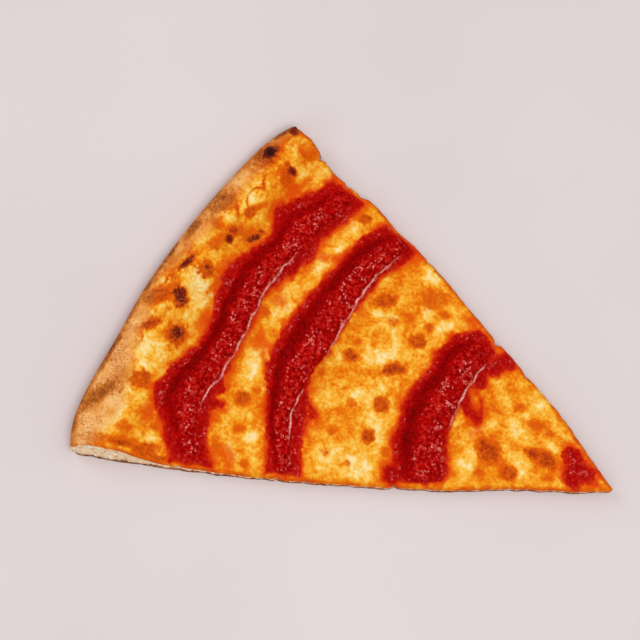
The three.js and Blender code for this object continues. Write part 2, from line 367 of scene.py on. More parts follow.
@dataclass(frozen=True)
class PiePlan:
    """The slice's outline, and the height of its dough.

    Attributes:
        half_angle: Angle between the middle line and each cut.
        length: From the tip to the outer edge of the rim on the middle line.
        skew: How much the -Y cut is longer than the +Y cut, halved.
        flare: Extra length of both cuts over the middle line.
        corner_drop: How far the rim's corners are rounded back, at the -Y and the +Y cut.
        corner_share: Share of the half width that the rounding takes.
        flat_side: Where the rim's outer edge is flatter.
        flat_depth: How far it stands back there.
        flat_spread: How far the flatter stretch spreads.
        tip_half_width: Half the width of the blunt tip.
        bow: How far each cut bulges outwards halfway along.
        torn: Roughness of the cuts.
        torn_depth: Distance over which the roughness of the cuts dies away inwards.
        base: Thickness of the dough under the cheese.
        wave: Height of the slow rise and fall of the base.
        wave_length: Width of those rises.
        sunk: Depth below the floor from which the rim's wall curves up.
        rim_width: From the outer edge to the foot of the rim's inner slope, at the -Y and the +Y cut.
        rim_rise: Height of the rim's crown above the base, at the -Y and the +Y cut.
        drawn_back: How far the top of each cut stands back from its foot, for each millimetre of rise.
        drawn_share: Share of the half width over which the rim's top follows the cut back.
        lean: How far the top of each cut stands back besides, near the rim.
        crown: From the outer edge to the rim's crown.
        edge_share: Over 1 leaves an upright outer wall below the crown's curve.
        lump: Height of the bubbles along the rim.
        lump_length: Width of those bubbles.
        bulge: How far the outer wall swells.
        undercut: How far the foot of the outer wall is tucked under.
        wall_share: Share of the length over which the wall's swelling fades.
    """

    half_angle: float = math.radians(22.6)
    length: float = 225.0
    skew: float = 13.3
    flare: float = 8.0
    corner_drop: tuple[float, float] = (5.2, 3.2)
    corner_share: float = 0.25
    flat_side: float = -0.42
    flat_depth: float = 1.2
    flat_spread: float = 0.2
    tip_half_width: float = 1.0
    bow: float = 5.5
    torn: float = 0.4
    torn_depth: float = 4.0
    base: float = 4.0
    wave: float = 0.5
    wave_length: float = 46.0
    sunk: float = 1.0
    rim_width: tuple[float, float] = (42.0, 26.0)
    rim_rise: tuple[float, float] = (9.4, 8.2)
    drawn_back: tuple[float, float] = (0.42, 0.05)
    drawn_share: float = 0.24
    lean: tuple[float, float] = (1.3, 0.0)
    crown: float = 11.0
    edge_share: float = 1.12
    lump: float = 0.9
    lump_length: float = 24.0
    bulge: float = 1.6
    undercut: float = 3.2
    wall_share: float = 0.06

    def across(self, sizes: tuple[float, float], side: Array) -> Array:
        """The value at side of a size given for the -Y cut and for the +Y cut."""
        return sizes[0] + (sizes[1] - sizes[0]) * (side + 1) / 2

    def half_width(self, inward: Array | float) -> Array | float:
        """Half the width of the slice's plain wedge at a distance from the tip along the middle line."""
        return self.tip_half_width + inward * math.tan(self.half_angle)

    def outer_reach(self, side: Array) -> Array:
        """Distance from the tip to the outer edge of the rim.

        Args:
            side: Places between the cuts.

        Returns:
            The distance at each place.
        """
        corner = np.clip((np.abs(side) - 1 + self.corner_share) / self.corner_share, 0, None)
        drop = np.where(side < 0, *self.corner_drop) * corner**2
        flat = self.flat_depth * np.exp(-(((side - self.flat_side) / self.flat_spread) ** 2))
        return self.length - self.skew * side + self.flare * side**2 - drop - flat

    def rim(self, along: Array, side: Array) -> Array:
        """Height of the rim's swelling above the base.

        Args:
            along: Share of the way from the tip to the outer edge.
            side: Place between the two cuts.

        Returns:
            The height at each place.
        """
        from_edge = np.clip((1 - along) * self.outer_reach(side), 0, None)
        width = self.across(self.rim_width, side)
        sideways = side * self.half_angle * self.length
        lumps = Noise(Seed.RIM_LUMPS).smooth(sideways, from_edge, self.lump_length)
        lumps += 0.45 * Noise(Seed.SMALL_LUMPS).smooth(sideways, from_edge, self.lump_length / 2.4)
        rise = self.across(self.rim_rise, side) + self.lump * lumps
        inner = np.clip((from_edge - self.crown) / (width - self.crown), 0, 1)
        outer = (self.crown - from_edge) / (self.crown * self.edge_share)
        slope = (1 + np.cos(math.pi * inner)) / 2
        curl = np.sqrt(np.clip(1 - outer**2, 0, 1))
        return rise * np.where(from_edge > self.crown, slope, curl)

    def tearing(self, reach: Array, side: Array) -> Array:
        """How far the nearer cut is torn in from its clean line.

        Args:
            reach: Distance from the tip.
            side: Place between the two cuts.

        Returns:
            The distance at each place.
        """
        row = np.where(side < 0, -40.0, 40.0)
        rough = 0.55 + Noise(Seed.TEARS).layered(reach, row, 10)
        rough += 0.45 * Noise(Seed.FINE_TEARS).smooth(reach, row, 2.6)
        return self.torn * rough + torn_in(NOTCHES, reach, side)

    def point(
        self, along: Array, side: Array, level: Array | float = 1.0, outward: Array | float = 0.0
    ) -> tuple[Array, Array]:
        """Plan point of a place on the slice.

        Args:
            along: Share of the way from the tip to the outer edge.
            side: Place between the two cuts.
            level: Height from the underside, 0, to the top, 1. The rim's cuts draw back towards the top.
            outward: Distance past the place, away from the tip.

        Returns:
            The coordinates x and y.
        """
        reach = along * self.outer_reach(side) + outward
        bearing = side * self.half_angle
        near_cut = rising(np.abs(side), 1 - self.drawn_share, 1)
        back = np.where(side < 0, *self.drawn_back) * self.rim(along, side)
        back = back + np.where(side < 0, *self.lean) * (0.25 + 0.75 * rising(along, 0.62, 0.88))
        inset = (1 - np.abs(side)) * self.half_width(along * self.length)
        tear = self.tearing(reach, side) * falling(inset, 0, self.torn_depth)
        bow = 4 * self.bow * along * (1 - along) + self.tip_half_width - torn_in(DENTS, reach, side)
        bulge = side * (bow - back * level * near_cut - tear)
        x = -reach * np.cos(bearing) + bulge * np.sin(bearing)
        y = reach * np.sin(bearing) + bulge * np.cos(bearing)
        return x, y

    def wall_point(self, along: Array, side: Array, height: Array) -> tuple[Array, Array]:
        """Plan point of a place in the dough, whose outer wall swells and tucks under.

        Args:
            along: Share of the way from the tip to the outer edge.
            side: Place between the two cuts.
            height: Height of the place.

        Returns:
            The coordinates x and y.
        """
        level = (height + self.sunk) / (self.dough_top(along, side) + self.sunk)
        wall = rising(along, 1 - self.wall_share, 1)
        outward = wall * (self.bulge * np.sin(math.pi * level) - self.undercut * (1 - level) ** 3)
        return self.point(along, side, level, outward)

    def dough_top(self, along: Array, side: Array) -> Array:
        """Height of the dough's top.

        Args:
            along: Share of the way from the tip to the outer edge.
            side: Place between the two cuts.

        Returns:
            The height at each place.
        """
        x, y = self.point(along, side)
        wave = self.wave * Noise(Seed.BASE_WAVE).smooth(x, y, self.wave_length)
        return self.base + wave + self.rim(along, side)

    def places(self, along: Array, side: Array) -> Places:
        """Many places with their plan coordinates and distances.

        Args:
            along: Share of the way from the tip to the outer edge.
            side: Place between the two cuts.

        Returns:
            The places.
        """
        x, y = self.point(along, side)
        reach = along * self.outer_reach(side)
        from_edge = np.clip((1 - along) * self.outer_reach(side), 0, None)
        from_cut = (1 - np.abs(side)) * self.half_width(along * self.length)
        return Places(along, side, x, y, reach, from_edge, from_cut)


@dataclass(frozen=True)
class CrustSkin:
    """The unevenness of the dough's top, with bubbles and pulled folds along the rim.

    Attributes:
        plan: The slice's plan.
        uneven: Height of the unevenness all over.
        fine: Height of the finest unevenness.
        bubble: Width of a bubble on the rim.
        bubble_rise: Its height.
        fold: Spacing of the folds.
        fold_depth: Their depth.
        fold_stretch: How much longer than wide they are.
    """

    plan: PiePlan
    uneven: float = 0.2
    fine: float = 0.08
    bubble: float = 14.0
    bubble_rise: float = 1.4
    fold: float = 5.0
    fold_depth: float = 0.45
    fold_stretch: float = 4.0

    def bubbles(self, places: Places) -> Array:
        """1 at the middles of the bubbles, 0 between them."""
        return Noise(Seed.BUBBLES).grains(places.x, places.y, self.bubble, 0.95)

    def folds(self, places: Places) -> Array:
        """The rim's pulled folds, and the creases round its bubbles.

        Args:
            places: Where on the slice.

        Returns:
            1 in the folds, up to 0.75 in the creases, and 0 between them.
        """
        sideways = places.side * self.plan.half_angle * self.plan.length / self.fold_stretch
        winding = Noise(Seed.FOLDS).smooth(sideways, places.from_edge, self.fold)
        pulled = np.clip(1 - np.abs(winding) / 0.16, 0, 1) ** 1.5 * falling(places.from_edge, 9, 19)
        bubbles = self.bubbles(places)
        creases = rising(bubbles, 0, 0.3) * falling(bubbles, 0.4, 0.8) * falling(places.from_edge, 14, 26)
        return np.maximum(pulled, 0.75 * creases)

    def height(self, places: Places) -> Array:
        """The skin's relief.

        Args:
            places: Where on the slice.

        Returns:
            The height that it adds there.
        """
        even = self.uneven * places.noise(Seed.DOUGH, 7) + self.fine * places.noise(Seed.FINE_DOUGH, 2.2, 1)
        on_rim = falling(places.from_edge, 14, 30)
        bubbles = on_rim * self.bubble_rise * (rising(self.bubbles(places), 0, 1) - 0.85)
        return even + bubbles - self.fold_depth * self.folds(places)

    def top(self, places: Places) -> Array:
        """Height of the dough's top with its unevenness."""
        return self.plan.dough_top(places.along, places.side) + self.height(places)


@dataclass(frozen=True)
class Placement:
    """Moves the plan into the frame.

    Attributes:
        shift_x: Distance to add to x.
        shift_y: Distance to add to y.
    """

    shift_x: float
    shift_y: float

    @classmethod
    def in_frame(cls, plan: PiePlan) -> "Placement":
        """Centres the plan's dough on the frame's.

        Args:
            plan: The slice's plan.

        Returns:
            The placement.
        """
        steps = np.linspace(0, 1, 241)
        along, side = np.meshgrid(steps, 2 * steps - 1)
        top = plan.dough_top(along, side)
        levels = np.array([plan.wall_point(along, side, share * top) for share in (0, 0.5, 0.9)])
        x, y = levels[:, 0], levels[:, 1]
        low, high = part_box("dough")
        middle = (low + high) / 2 / MILLIMETRE
        return cls(middle.x - (x.min() + x.max()) / 2, middle.y - (y.min() + y.max()) / 2)

    def metres(self, x: Array, y: Array, z: Array) -> Array:
        """Rows of x, y, z in the frame, in metres."""
        return np.stack((x + self.shift_x, y + self.shift_y, z), axis=1) * MILLIMETRE


# ------------------------------------------------------------------------------------------------ blanks


@dataclass
class Blank:
    """A closed slab in even cells that still has to be given its shape.

    Attributes:
        mesh: The slab, flat and in plan cells.
        places: Where each of its corners lies on the slice.
        level: Height of each corner, 0 at the underside and 1 at the top.
    """

    mesh: bpy.types.Mesh
    places: Places
    level: Array

    def shape(self, placement: Placement, x: Array, y: Array, z: Array) -> None:
        """Moves the corners to where they belong.

        Args:
            placement: Puts the plan into the frame.
            x: Plan coordinate of each corner.
            y: Plan coordinate of each corner.
            z: Height of each corner.
        """
        self.mesh.vertices.foreach_set("co", placement.metres(x, y, z).ravel())
        self.mesh.shade_smooth()
        self.mesh.update()

    def paint(self, **layers: Array) -> None:
        """Stores values for the materials.

        Args:
            layers: The values of the corners, under the names that the materials read.
        """
        for name, values in layers.items():
            attribute = self.mesh.attributes.new(name, "FLOAT", "POINT")
            attribute.data.foreach_set("value", np.asarray(values, np.float32))


@dataclass(frozen=True)
class Slab:
    """A slab over the slice's plan, between two distances from the tip and both cuts.

    Attributes:
        plan: The slice's plan.
        near: Its end nearer the tip, along the middle line.
        far: Its end nearer the rim.
        cell: Width of its cells.
        inset: How far it stands in from the cuts.
        layers: Cells between its underside and its top.
    """

    plan: PiePlan
    near: float
    far: float
    cell: float
    inset: float = 0.0
    layers: int = 1

    def blank(self, name: str, kept: Callable[[Places], Array] | None = None) -> Blank:
        """Makes the slab.

        Args:
            name: Name of its mesh.
            kept: Gives a value for each place. Cells where it is below zero all round are left out.

        Returns:
            The blank.
        """
        sheet = self._sheet()
        if kept:
            self._trim(sheet, kept)
        grown = bmesh.ops.extrude_face_region(sheet, geom=sheet.faces[:])
        raised = [item for item in grown["geom"] if isinstance(item, bmesh.types.BMVert)]
        bmesh.ops.translate(sheet, vec=(0, 0, 1), verts=raised)
        if self.layers > 1:
            upright = [edge for edge in sheet.edges if abs(edge.verts[0].co.z - edge.verts[1].co.z) > 0.5]
            bmesh.ops.subdivide_edges(sheet, edges=upright, cuts=self.layers - 1, use_grid_fill=True)
        bmesh.ops.recalc_face_normals(sheet, faces=sheet.faces[:])
        mesh = bpy.data.meshes.new(name)
        sheet.to_mesh(mesh)
        sheet.free()
        corners = np.empty(len(mesh.vertices) * 3)
        mesh.vertices.foreach_get("co", corners)
        corners = corners.reshape(-1, 3)
        return Blank(mesh, self._places(corners), corners[:, 2].copy())

    def _places(self, corners: Array) -> Places:
        """Where corners lie on the slice.

        Args:
            corners: Rows of coordinates on the flat sheet.

        Returns:
            Their places.
        """
        inward, aside = corners[:, 0], corners[:, 1]
        side = np.clip(aside / self.plan.half_width(inward), -1, 1)
        return self.plan.places(np.clip(inward / self.plan.length, 0, 1), side)

    def _sheet(self) -> bmesh.types.BMesh:
        """The slab's plan.

        Returns:
            A flat sheet of cells, cut off at both sides.
        """
        sheet = bmesh.new()
        length, width = self.far - self.near, 2 * self.plan.half_width(self.far)
        columns, rows = round(length / self.cell), round(width / self.cell)
        bmesh.ops.create_grid(sheet, x_segments=columns, y_segments=rows, size=0.5)
        middle = Matrix.Translation(((self.near + self.far) / 2, 0, 0))
        bmesh.ops.transform(sheet, matrix=middle @ Matrix.Diagonal((length, width, 1, 1)), verts=sheet.verts)
        for hand in (-1, 1):
            bmesh.ops.bisect_plane(
                sheet,
                geom=[*sheet.verts, *sheet.edges, *sheet.faces],
                dist=1e-4,
                plane_co=(0, hand * (self.plan.tip_half_width - self.inset), 0),
                plane_no=Vector((-math.tan(self.plan.half_angle), hand, 0)).normalized(),
                clear_outer=True,
            )
        return sheet

    def _trim(self, sheet: bmesh.types.BMesh, kept: Callable[[Places], Array]) -> None:
        """Leaves out the cells that aren't kept, and then those that hang on by a corner.

        Args:
            sheet: The flat sheet.
            kept: Gives a value for each place, below zero where a cell can go.
        """
        sheet.verts.index_update()
        values = kept(self._places(np.array([corner.co for corner in sheet.verts])))
        outside = [face for face in sheet.faces if max(values[corner.index] for corner in face.verts) < 0]
        while outside:
            bmesh.ops.delete(sheet, geom=outside, context="FACES")
            pinched = [corner for corner in sheet.verts if not corner.is_manifold]
            outside = list({face for corner in pinched for face in corner.link_faces})


# ------------------------------------------------------------------------------------------------ baking


class Bake(Enum):
    """How far a spot has baked: its share of browning, of charring and of red oil."""

    GOLDEN = (0.42, 0.0, 0.0)
    BROWN = (0.75, 0.0, 0.0)
    RUDDY = (0.6, 0.0, 0.28)
    DARK = (1.0, 0.5, 0.0)
    BURNT = (1.0, 1.0, 0.0)


@dataclass(frozen=True)
class Oval:
    """An oval place on the top of the slice.

    Attributes:
        inward: Distance from the tip along the middle line.
        aside: Distance from the middle line, positive on the +Y side.
        length: Length of the oval.
        width: Width of the oval.
        turn: Angle of its length from the middle line, in degrees.
    """

    inward: float
    aside: float
    length: float
    width: float
    turn: float = 0.0

    def nearness(self, places: Places) -> Array:
        """How near places are to its middle.

        Args:
            places: Where on the slice.

        Returns:
            1 at its middle, 0 at its edge and negative beyond.
        """
        turn = math.radians(self.turn)
        dx, dy = -places.x - self.inward, places.y - self.aside
        lengthways = dx * math.cos(turn) + dy * math.sin(turn)
        crossways = -dx * math.sin(turn) + dy * math.cos(turn)
        return 1 - np.hypot(2 * lengthways / self.length, 2 * crossways / self.width)

    def inside(self, places: Places) -> Array:
        """About how many millimetres places lie inside it, negative outside."""
        return self.nearness(places) * min(self.length, self.width) / 2


@dataclass(frozen=True)
class Spot(Oval):
    """An oval that has baked further than what is round it.

    Attributes:
        bake: How far it has baked.
        rise: Height of its blister.
        ring: Whether its middle is paler than its edge.
    """

    bake: Bake = Bake.BROWN
    rise: float = 0.5
    ring: bool = False


SPOTS: tuple[Spot, ...] = (
    # Along the rim, from the +Y corner to the -Y corner.
    Spot(199, 82, 6, 4, 75, Bake.DARK, 0.0),
    Spot(204.5, 67.5, 7, 5.5, -65, Bake.BURNT, 0.4),
    Spot(205.5, 66, 15, 10, -65, Bake.BROWN, 0.3),
    Spot(190, 75, 8.5, 8, 0, Bake.GOLDEN, 0.8, ring=True),
    Spot(192, 64, 4.5, 4, 0, Bake.DARK, 0.7),
    Spot(195, 66, 3, 2.4, 0, Bake.BROWN, 0.3),
    Spot(193, 60.5, 9, 6.5, 35, Bake.RUDDY, 0.6),
    Spot(190, 49, 4.5, 2.6, -55, Bake.DARK, 0.2),
    Spot(191, 46, 3.4, 2.4, 0, Bake.BROWN, 0.2),
    Spot(200, 39, 5.5, 4.2, 85, Bake.BROWN, 0.5, ring=True),
    Spot(198, 43, 6.5, 2.4, -35, Bake.GOLDEN, 0.2),
    Spot(193.5, 30, 7, 2.8, -50, Bake.DARK, 0.4),
    Spot(192, 33.5, 3.4, 2.6, 0, Bake.BROWN, 0.3),
    Spot(203, 24, 4.4, 3.4, -75, Bake.DARK, 0.5),
    Spot(203, 28, 4.8, 4, 0, Bake.BROWN, 0.5),
    Spot(208, 18, 5.5, 4.2, 0, Bake.GOLDEN, 0.3),
    Spot(213, 40, 9, 3.4, -30, Bake.BROWN, 0.3),
    Spot(213.5, 38, 13, 8, -65, Bake.BROWN, 0.8, ring=True),
    Spot(211, 28, 6.4, 5, 0, Bake.GOLDEN, 0.4),
    Spot(221, 36, 10, 4, -70, Bake.BROWN, 0.0),
    Spot(207, 21, 13, 5, -60, Bake.GOLDEN, 0.3),
    Spot(197, 29, 13, 8, 20, Bake.GOLDEN, 0.2),
    Spot(200, 2, 12, 3, -75, Bake.GOLDEN, 0.2),
    Spot(215, 6, 9, 3.2, -70, Bake.DARK, 0.4),
    Spot(206, 7, 7.5, 7, 0, Bake.BROWN, 0.6, ring=True),
    Spot(206, 8, 2.6, 2, 0, Bake.DARK, 0.2),
    Spot(211, -9, 9.5, 6, 50, Bake.DARK, 0.9),
    Spot(220, -13, 15, 7, -40, Bake.BROWN, 0.8, ring=True),
    Spot(217, -26, 10.5, 4, -40, Bake.BROWN, 0.3),
    Spot(205, -25, 10.5, 9, 75, Bake.BROWN, 0.9),
    Spot(205, -24, 6, 5, -85, Bake.DARK, 0.6),
    Spot(210, -50, 9, 8, -25, Bake.BROWN, 0.5, ring=True),
    Spot(207, -72, 7, 6, -25, Bake.GOLDEN, 0.3),
    Spot(194, -77, 10, 6, -30, Bake.BROWN, 0.5, ring=True),
    Spot(185, -77, 13, 2, -20, Bake.BROWN, 0.1),
    Spot(195, -66, 4.4, 3.4, 0, Bake.GOLDEN, 0.2),
    Spot(205, -79, 12, 2.4, -15, Bake.BROWN, 0.1),
    Spot(213, -81, 28, 5, -20, Bake.GOLDEN, 0.0),
    Spot(220, 21, 12, 4.4, -80, Bake.BROWN, 0.0),
    Spot(222, 3, 9, 4, -75, Bake.GOLDEN, 0.0),
    Spot(223, -64, 24, 6, -65, Bake.BROWN, 0.0),
    Spot(227.5, -44, 26, 2.6, -85, Bake.BROWN, 0.0),
    # Between the outer and the middle band of sauce.
    Spot(153, 60, 5.5, 4, -15, Bake.BROWN, 0.4, ring=True),
    Spot(168, 39, 4.4, 3.4, -25, Bake.GOLDEN, 0.2),
    Spot(164, 49, 6, 3.2, -65, Bake.GOLDEN, 0.2),
    Spot(174, 2, 4.8, 4.8, 0, Bake.GOLDEN, 0.3),
    Spot(166, -37, 6.2, 6, 0, Bake.BROWN, 0.5, ring=True),
    Spot(162, -31, 4.2, 3.4, 0, Bake.GOLDEN, 0.3),
    Spot(161, -50, 6.2, 3.2, -25, Bake.GOLDEN, 0.2),
    Spot(175, -35, 4.4, 3.4, 0, Bake.GOLDEN, 0.1),
    Spot(152, -63, 4.4, 3.4, 0, Bake.GOLDEN, 0.1),
    Spot(171, -64, 4.4, 3.4, 0, Bake.GOLDEN, 0.1),
    Spot(167, -65, 17, 7, 90, Bake.GOLDEN, 0.1),
    # Between the middle and the inner band.
    Spot(109, 41, 15, 9, -40, Bake.GOLDEN, 0.2),
    Spot(128, 31, 9, 6, -35, Bake.BROWN, 0.6, ring=True),
    Spot(121, 24, 5.6, 4.8, 0, Bake.GOLDEN, 0.4),
    Spot(131, 2, 6, 5, 0, Bake.BROWN, 0.4),
    Spot(131, 9, 3.4, 2.8, 0, Bake.GOLDEN, 0.2),
    Spot(111, 5, 11, 5.4, -35, Bake.BROWN, 0.6),
    Spot(110, 5, 5, 2.6, -35, Bake.BROWN, 0.1),
    Spot(109, -12, 7, 6.6, 0, Bake.BROWN, 0.5, ring=True),
    Spot(108, -27, 6, 6, 0, Bake.BROWN, 0.5),
    Spot(111, -42, 3.6, 3.2, 0, Bake.GOLDEN, 0.2),
    Spot(107, 21, 7.6, 5.8, -25, Bake.BROWN, 0.5, ring=True),
    Spot(105, 29, 4.6, 4.2, 0, Bake.GOLDEN, 0.3),
    Spot(139, -11, 5, 3, -55, Bake.GOLDEN, 0.1),
    Spot(115, 29, 4.2, 3.4, 0, Bake.GOLDEN, 0.1),
    Spot(101, 37, 5, 4.2, 0, Bake.GOLDEN, 0.1),
    Spot(124, -32, 4.2, 3.4, 0, Bake.GOLDEN, 0.1),
    Spot(121, -17, 4.6, 3.6, 0, Bake.GOLDEN, 0.1),
    Spot(122, -42, 4.6, 3.4, 0, Bake.GOLDEN, 0.1),
    Spot(98, -30, 4.6, 4.2, 0, Bake.GOLDEN, 0.1),
    # From the inner band to the tip.
    Spot(57, -9, 12, 9, 25, Bake.BROWN, 0.7),
    Spot(55, -11, 4.2, 3.6, 0, Bake.BROWN, 0.2),
    Spot(45, -14, 7.6, 6.2, 0, Bake.BROWN, 0.4, ring=True),
    Spot(38, -1, 8, 4.6, 0, Bake.BROWN, 0.5),
    Spot(32, -1, 9.6, 6.6, 5, Bake.BROWN, 0.6),
    Spot(32, -2, 5, 3.2, -5, Bake.BROWN, 0.2),
    Spot(43, 11, 11.5, 4.6, -15, Bake.GOLDEN, 0.3),
    Spot(36, 10, 5, 4, 0, Bake.GOLDEN, 0.3),
    Spot(53, 15, 6, 4.2, -25, Bake.GOLDEN, 0.2),
    Spot(57, -19, 5, 4, 0, Bake.GOLDEN, 0.2),
    Spot(70, -1, 4.6, 3.6, 0, Bake.GOLDEN, 0.1),
    Spot(28, -8, 5, 2.8, -25, Bake.GOLDEN, 0.2),
)

PALE_PLACES: tuple[Oval, ...] = (
    # Along the rim.
    Oval(197, 73, 8, 6, 25),
    Oval(187, 66, 11, 5, 90),
    Oval(202, 51, 22, 9, -80),
    Oval(208, 33, 11, 5, -5),
    Oval(214, 18, 13, 6, -80),
    Oval(206, -4, 28, 15, 65),
    Oval(221, -6, 12, 4, -35),
    Oval(217, -19, 11, 4, -55),
    Oval(200, -19, 7, 4, 70),
    Oval(211, -36, 24, 14, 60),
    Oval(214, -53, 18, 9, 85),
    Oval(213, -70, 18, 9, 90),
    Oval(195, -73, 14, 4, -35),
    # Between the outer and the middle band of sauce.
    Oval(175, 71, 11, 3, 20),
    Oval(156, 55, 8, 5, 40),
    Oval(157, 43, 9, 4, -55),
    Oval(161, 31, 10, 5, -60),
    Oval(169, 9, 30, 8, -85),
    Oval(169, -25, 23, 7, 85),
    Oval(164, -44, 14, 8, -25),
    Oval(155, -51, 8, 7, 65),
    Oval(162, -59, 17, 7, 40),
    # Between the middle and the inner band.
    Oval(113, 50, 10, 6, -15),
    Oval(106, 42, 5, 4),
    Oval(110, 36, 14, 7, 50),
    Oval(118, 21, 16, 8, 50),
    Oval(99, 32, 11, 6, -50),
    Oval(129, 24, 6, 4, -10),
    Oval(122, 6, 14, 9, -35),
    Oval(135, -1, 5, 3, 75),
    Oval(108, -1, 8, 3, -60),
    Oval(129, -11, 8, 4, -20),
    Oval(117, -10, 22, 10, -55),
    Oval(106, -23, 20, 8, 60),
    Oval(122, -42, 18, 12, 10),
    Oval(105, -42, 18, 12, 0),
    # From the inner band to the tip.
    Oval(66, -3, 13, 7, -60),
    Oval(63, -17, 20, 9, 85),
    Oval(62, 15, 14, 8, 35),
    Oval(50, 5, 18, 9, 35),
    Oval(43, -7, 22, 8, 20),
    Oval(45, 20, 9, 5, -60),
    Oval(33, 5, 8, 5),
    Oval(29, 12, 7, 3),
)

OIL_STAINS: tuple[Oval, ...] = (
    Oval(128, 57, 16, 7, 22),
    Oval(86, 38, 14, 8, 22),
    Oval(70, 29, 14, 12, 0),
    Oval(196, -46, 9, 12),
    Oval(201, -62, 9, 7),
    Oval(187, 57, 18, 5, -60),
    Oval(169, -11, 12, 8, 40),
    Oval(172, 10, 9, 7, 0),
    Oval(163, 36, 8, 6, 0),
    Oval(160, -62, 14, 8, 60),
    Oval(197, -12, 6, 18, 5),
    Oval(137, -34, 9, 9),
    Oval(140, -22, 12, 4, -60),
)


def near_any(ovals: Sequence[Oval], places: Places, ripple: Array) -> Array:
    """Nearness to the nearest of some ovals with rippled edges."""
    return np.maximum.reduce([oval.nearness(places) for oval in ovals]) + ripple


@dataclass(frozen=True)
class BakeMap:
    """Where the top of the slice is covered, browned, burnt, pale or floury.

    Attributes:
        plan: The slice that is baked.
        borders: Sides, and from the outer edge of the rim to where the cheese's colour ends at each.
    """

    plan: PiePlan
    borders: tuple[tuple[float, float], ...] = (
        (-1.0, 9.0),
        (-0.7, 16.0),
        (-0.5, 11.0),
        (-0.31, 6.5),
        (-0.04, 3.0),
        (0.22, 5.5),
        (0.54, 6.5),
        (0.76, 3.0),
        (0.9, 1.5),
        (1.0, 1.0),
    )

    def border_width(self, side: Array) -> Array:
        """From the outer edge of the rim to where the cheese's colour ends."""
        sides, widths = zip(*self.borders)
        return flowing(side, sides, widths)

    def cover(self, places: Places) -> Array:
        """1 where the cheese's colour covers the crust, 0 where the crust is bare."""
        ragged = 1.8 * places.noise(Seed.COVER_EDGE, 9)
        return rising(places.from_edge + ragged - self.border_width(places.side), -3.5, 4.5)

    def spots(self, places: Places) -> tuple[Array, Array, Array]:
        """What the spots do.

        Args:
            places: Where on the slice.

        Returns:
            Their browning, charring and reddening there.
        """
        ripple = 0.34 * places.noise(Seed.SPOT_EDGES, 2.4)
        brown, char, red = np.zeros((3, len(places.x)))
        for spot in SPOTS:
            near = spot.nearness(places) + ripple
            share = rising(near, -0.65, 0.62)
            if spot.ring:
                share = share * (1 - 0.35 * rising(near, 0.25, 0.8))
            brown = np.maximum(brown, share * spot.bake.value[0])
            char = np.maximum(char, rising(near, -0.5, 0.75) * spot.bake.value[1])
            red = np.maximum(red, share * spot.bake.value[2])
        return brown, char, red

    def blisters(self, places: Places) -> Array:
        """How high the spots' blisters rise.

        Args:
            places: Where on the slice.

        Returns:
            The height that they add there.
        """
        ripple = 0.2 * places.noise(Seed.SPOT_EDGES, 3.4)
        rise = np.zeros(np.shape(places.x))
        for spot in SPOTS:
            near = np.clip(spot.nearness(places) + ripple, 0, 1)
            rise = np.maximum(rise, spot.rise * np.sqrt(near * (2 - near)))
        return rise

    def _stain(self, places: Places, ripple: Array, sauces: Sequence["SauceShape"]) -> Array:
        """How far red oil has soaked the cheese.

        Args:
            places: Where on the slice.
            ripple: Unevenness of the edges of the oil stains.
            sauces: What stains the cheese round it.

        Returns:
            The soaking there.
        """
        stain = 0.42 * rising(near_any(OIL_STAINS, places, ripple), -0.9, 0.9)
        spread = np.clip(1 + 1.2 * places.noise(Seed.STAIN_EDGES, 9), 0.2, None)
        for sauce in sauces:
            inside = sauce.inside(places)
            near = 0.4 * rising(inside, -4.6 * spread, 0) + 0.34 * rising(inside, -1.5 * spread, 0.3)
            stain = np.maximum(stain, near)
        return stain

    def _edge_browning(self, places: Places, folds: Array) -> Array:
        """Browning of the rim and along the cuts, with painted shade in the rim's folds and creases.

        Args:
            places: Where on the slice.
            folds: 1 in the folds of the rim, which painted shade darkens.

        Returns:
            The browning and the painted fold shade there.
        """
        patches = np.clip(0.5 + 0.6 * places.noise(Seed.RIM_PATCHES, 15), 0, 1)
        speckled = 0.34 * rising(places.noise(Seed.RIM_SPECKLES, 5, 4), 0.1, 0.75)
        crown = falling(places.from_edge, -1, 9) * (0.02 + 0.28 * patches)
        crown = crown + falling(places.from_edge, 4, 17) * speckled
        wall = falling(places.from_edge, 0.3, 2.2) * (0.32 + 0.66 * patches)
        # Painted shade: the rim's folds and the creases round its bubbles are darkened through the browning.
        fold_shade = folds * (0.3 + 0.5 * places.noise(Seed.FOLD_SHADE, 14))
        ledge = falling(places.from_cut, 0, 2.8) * (0.34 + 0.3 * places.noise(Seed.LEDGE, 7))
        return np.maximum.reduce((crown, wall, fold_shade, ledge))

    def _flour(self, places: Places) -> Array:
        """How floury the bare crust and the outer wall are.

        Args:
            places: Where on the slice.

        Returns:
            The flour there, 0 to 1.
        """
        bare = self.border_width(places.side)
        flour = rising(bare - places.from_edge, -3, 6) * rising(bare, 0, 11)
        flour = flour * (0.55 + 0.5 * places.noise(Seed.FLOUR, 8))
        dusted = falling(places.from_edge, 0, 3) * rising(places.noise(Seed.WALL_FLOUR, 11), -0.1, 0.6)
        return np.clip(np.maximum(flour, dusted), 0, 1)

    def paint(self, blank: Blank, sauces: Sequence["SauceShape"], folds: Array) -> None:
        """Stores the bake on a blank for its material.

        Args:
            blank: The cheese or the dough.
            sauces: What stains the cheese round it.
            folds: 1 in the folds of the rim, which are darkened there as painted shade.
        """
        places = blank.places
        brown, char, red = self.spots(places)
        ripple = 0.35 * places.noise(Seed.PALE_EDGES, 6)
        blank.paint(
            cover=self.cover(places),
            brown=np.maximum(brown, self._edge_browning(places, folds)),
            char=char,
            pale=rising(near_any(PALE_PLACES, places, ripple), -0.3, 0.7),
            stain=np.maximum(red, self._stain(places, 1.5 * ripple, sauces)),
            flour=self._flour(places),
        )


# ------------------------------------------------------------------------------------------------ sauces


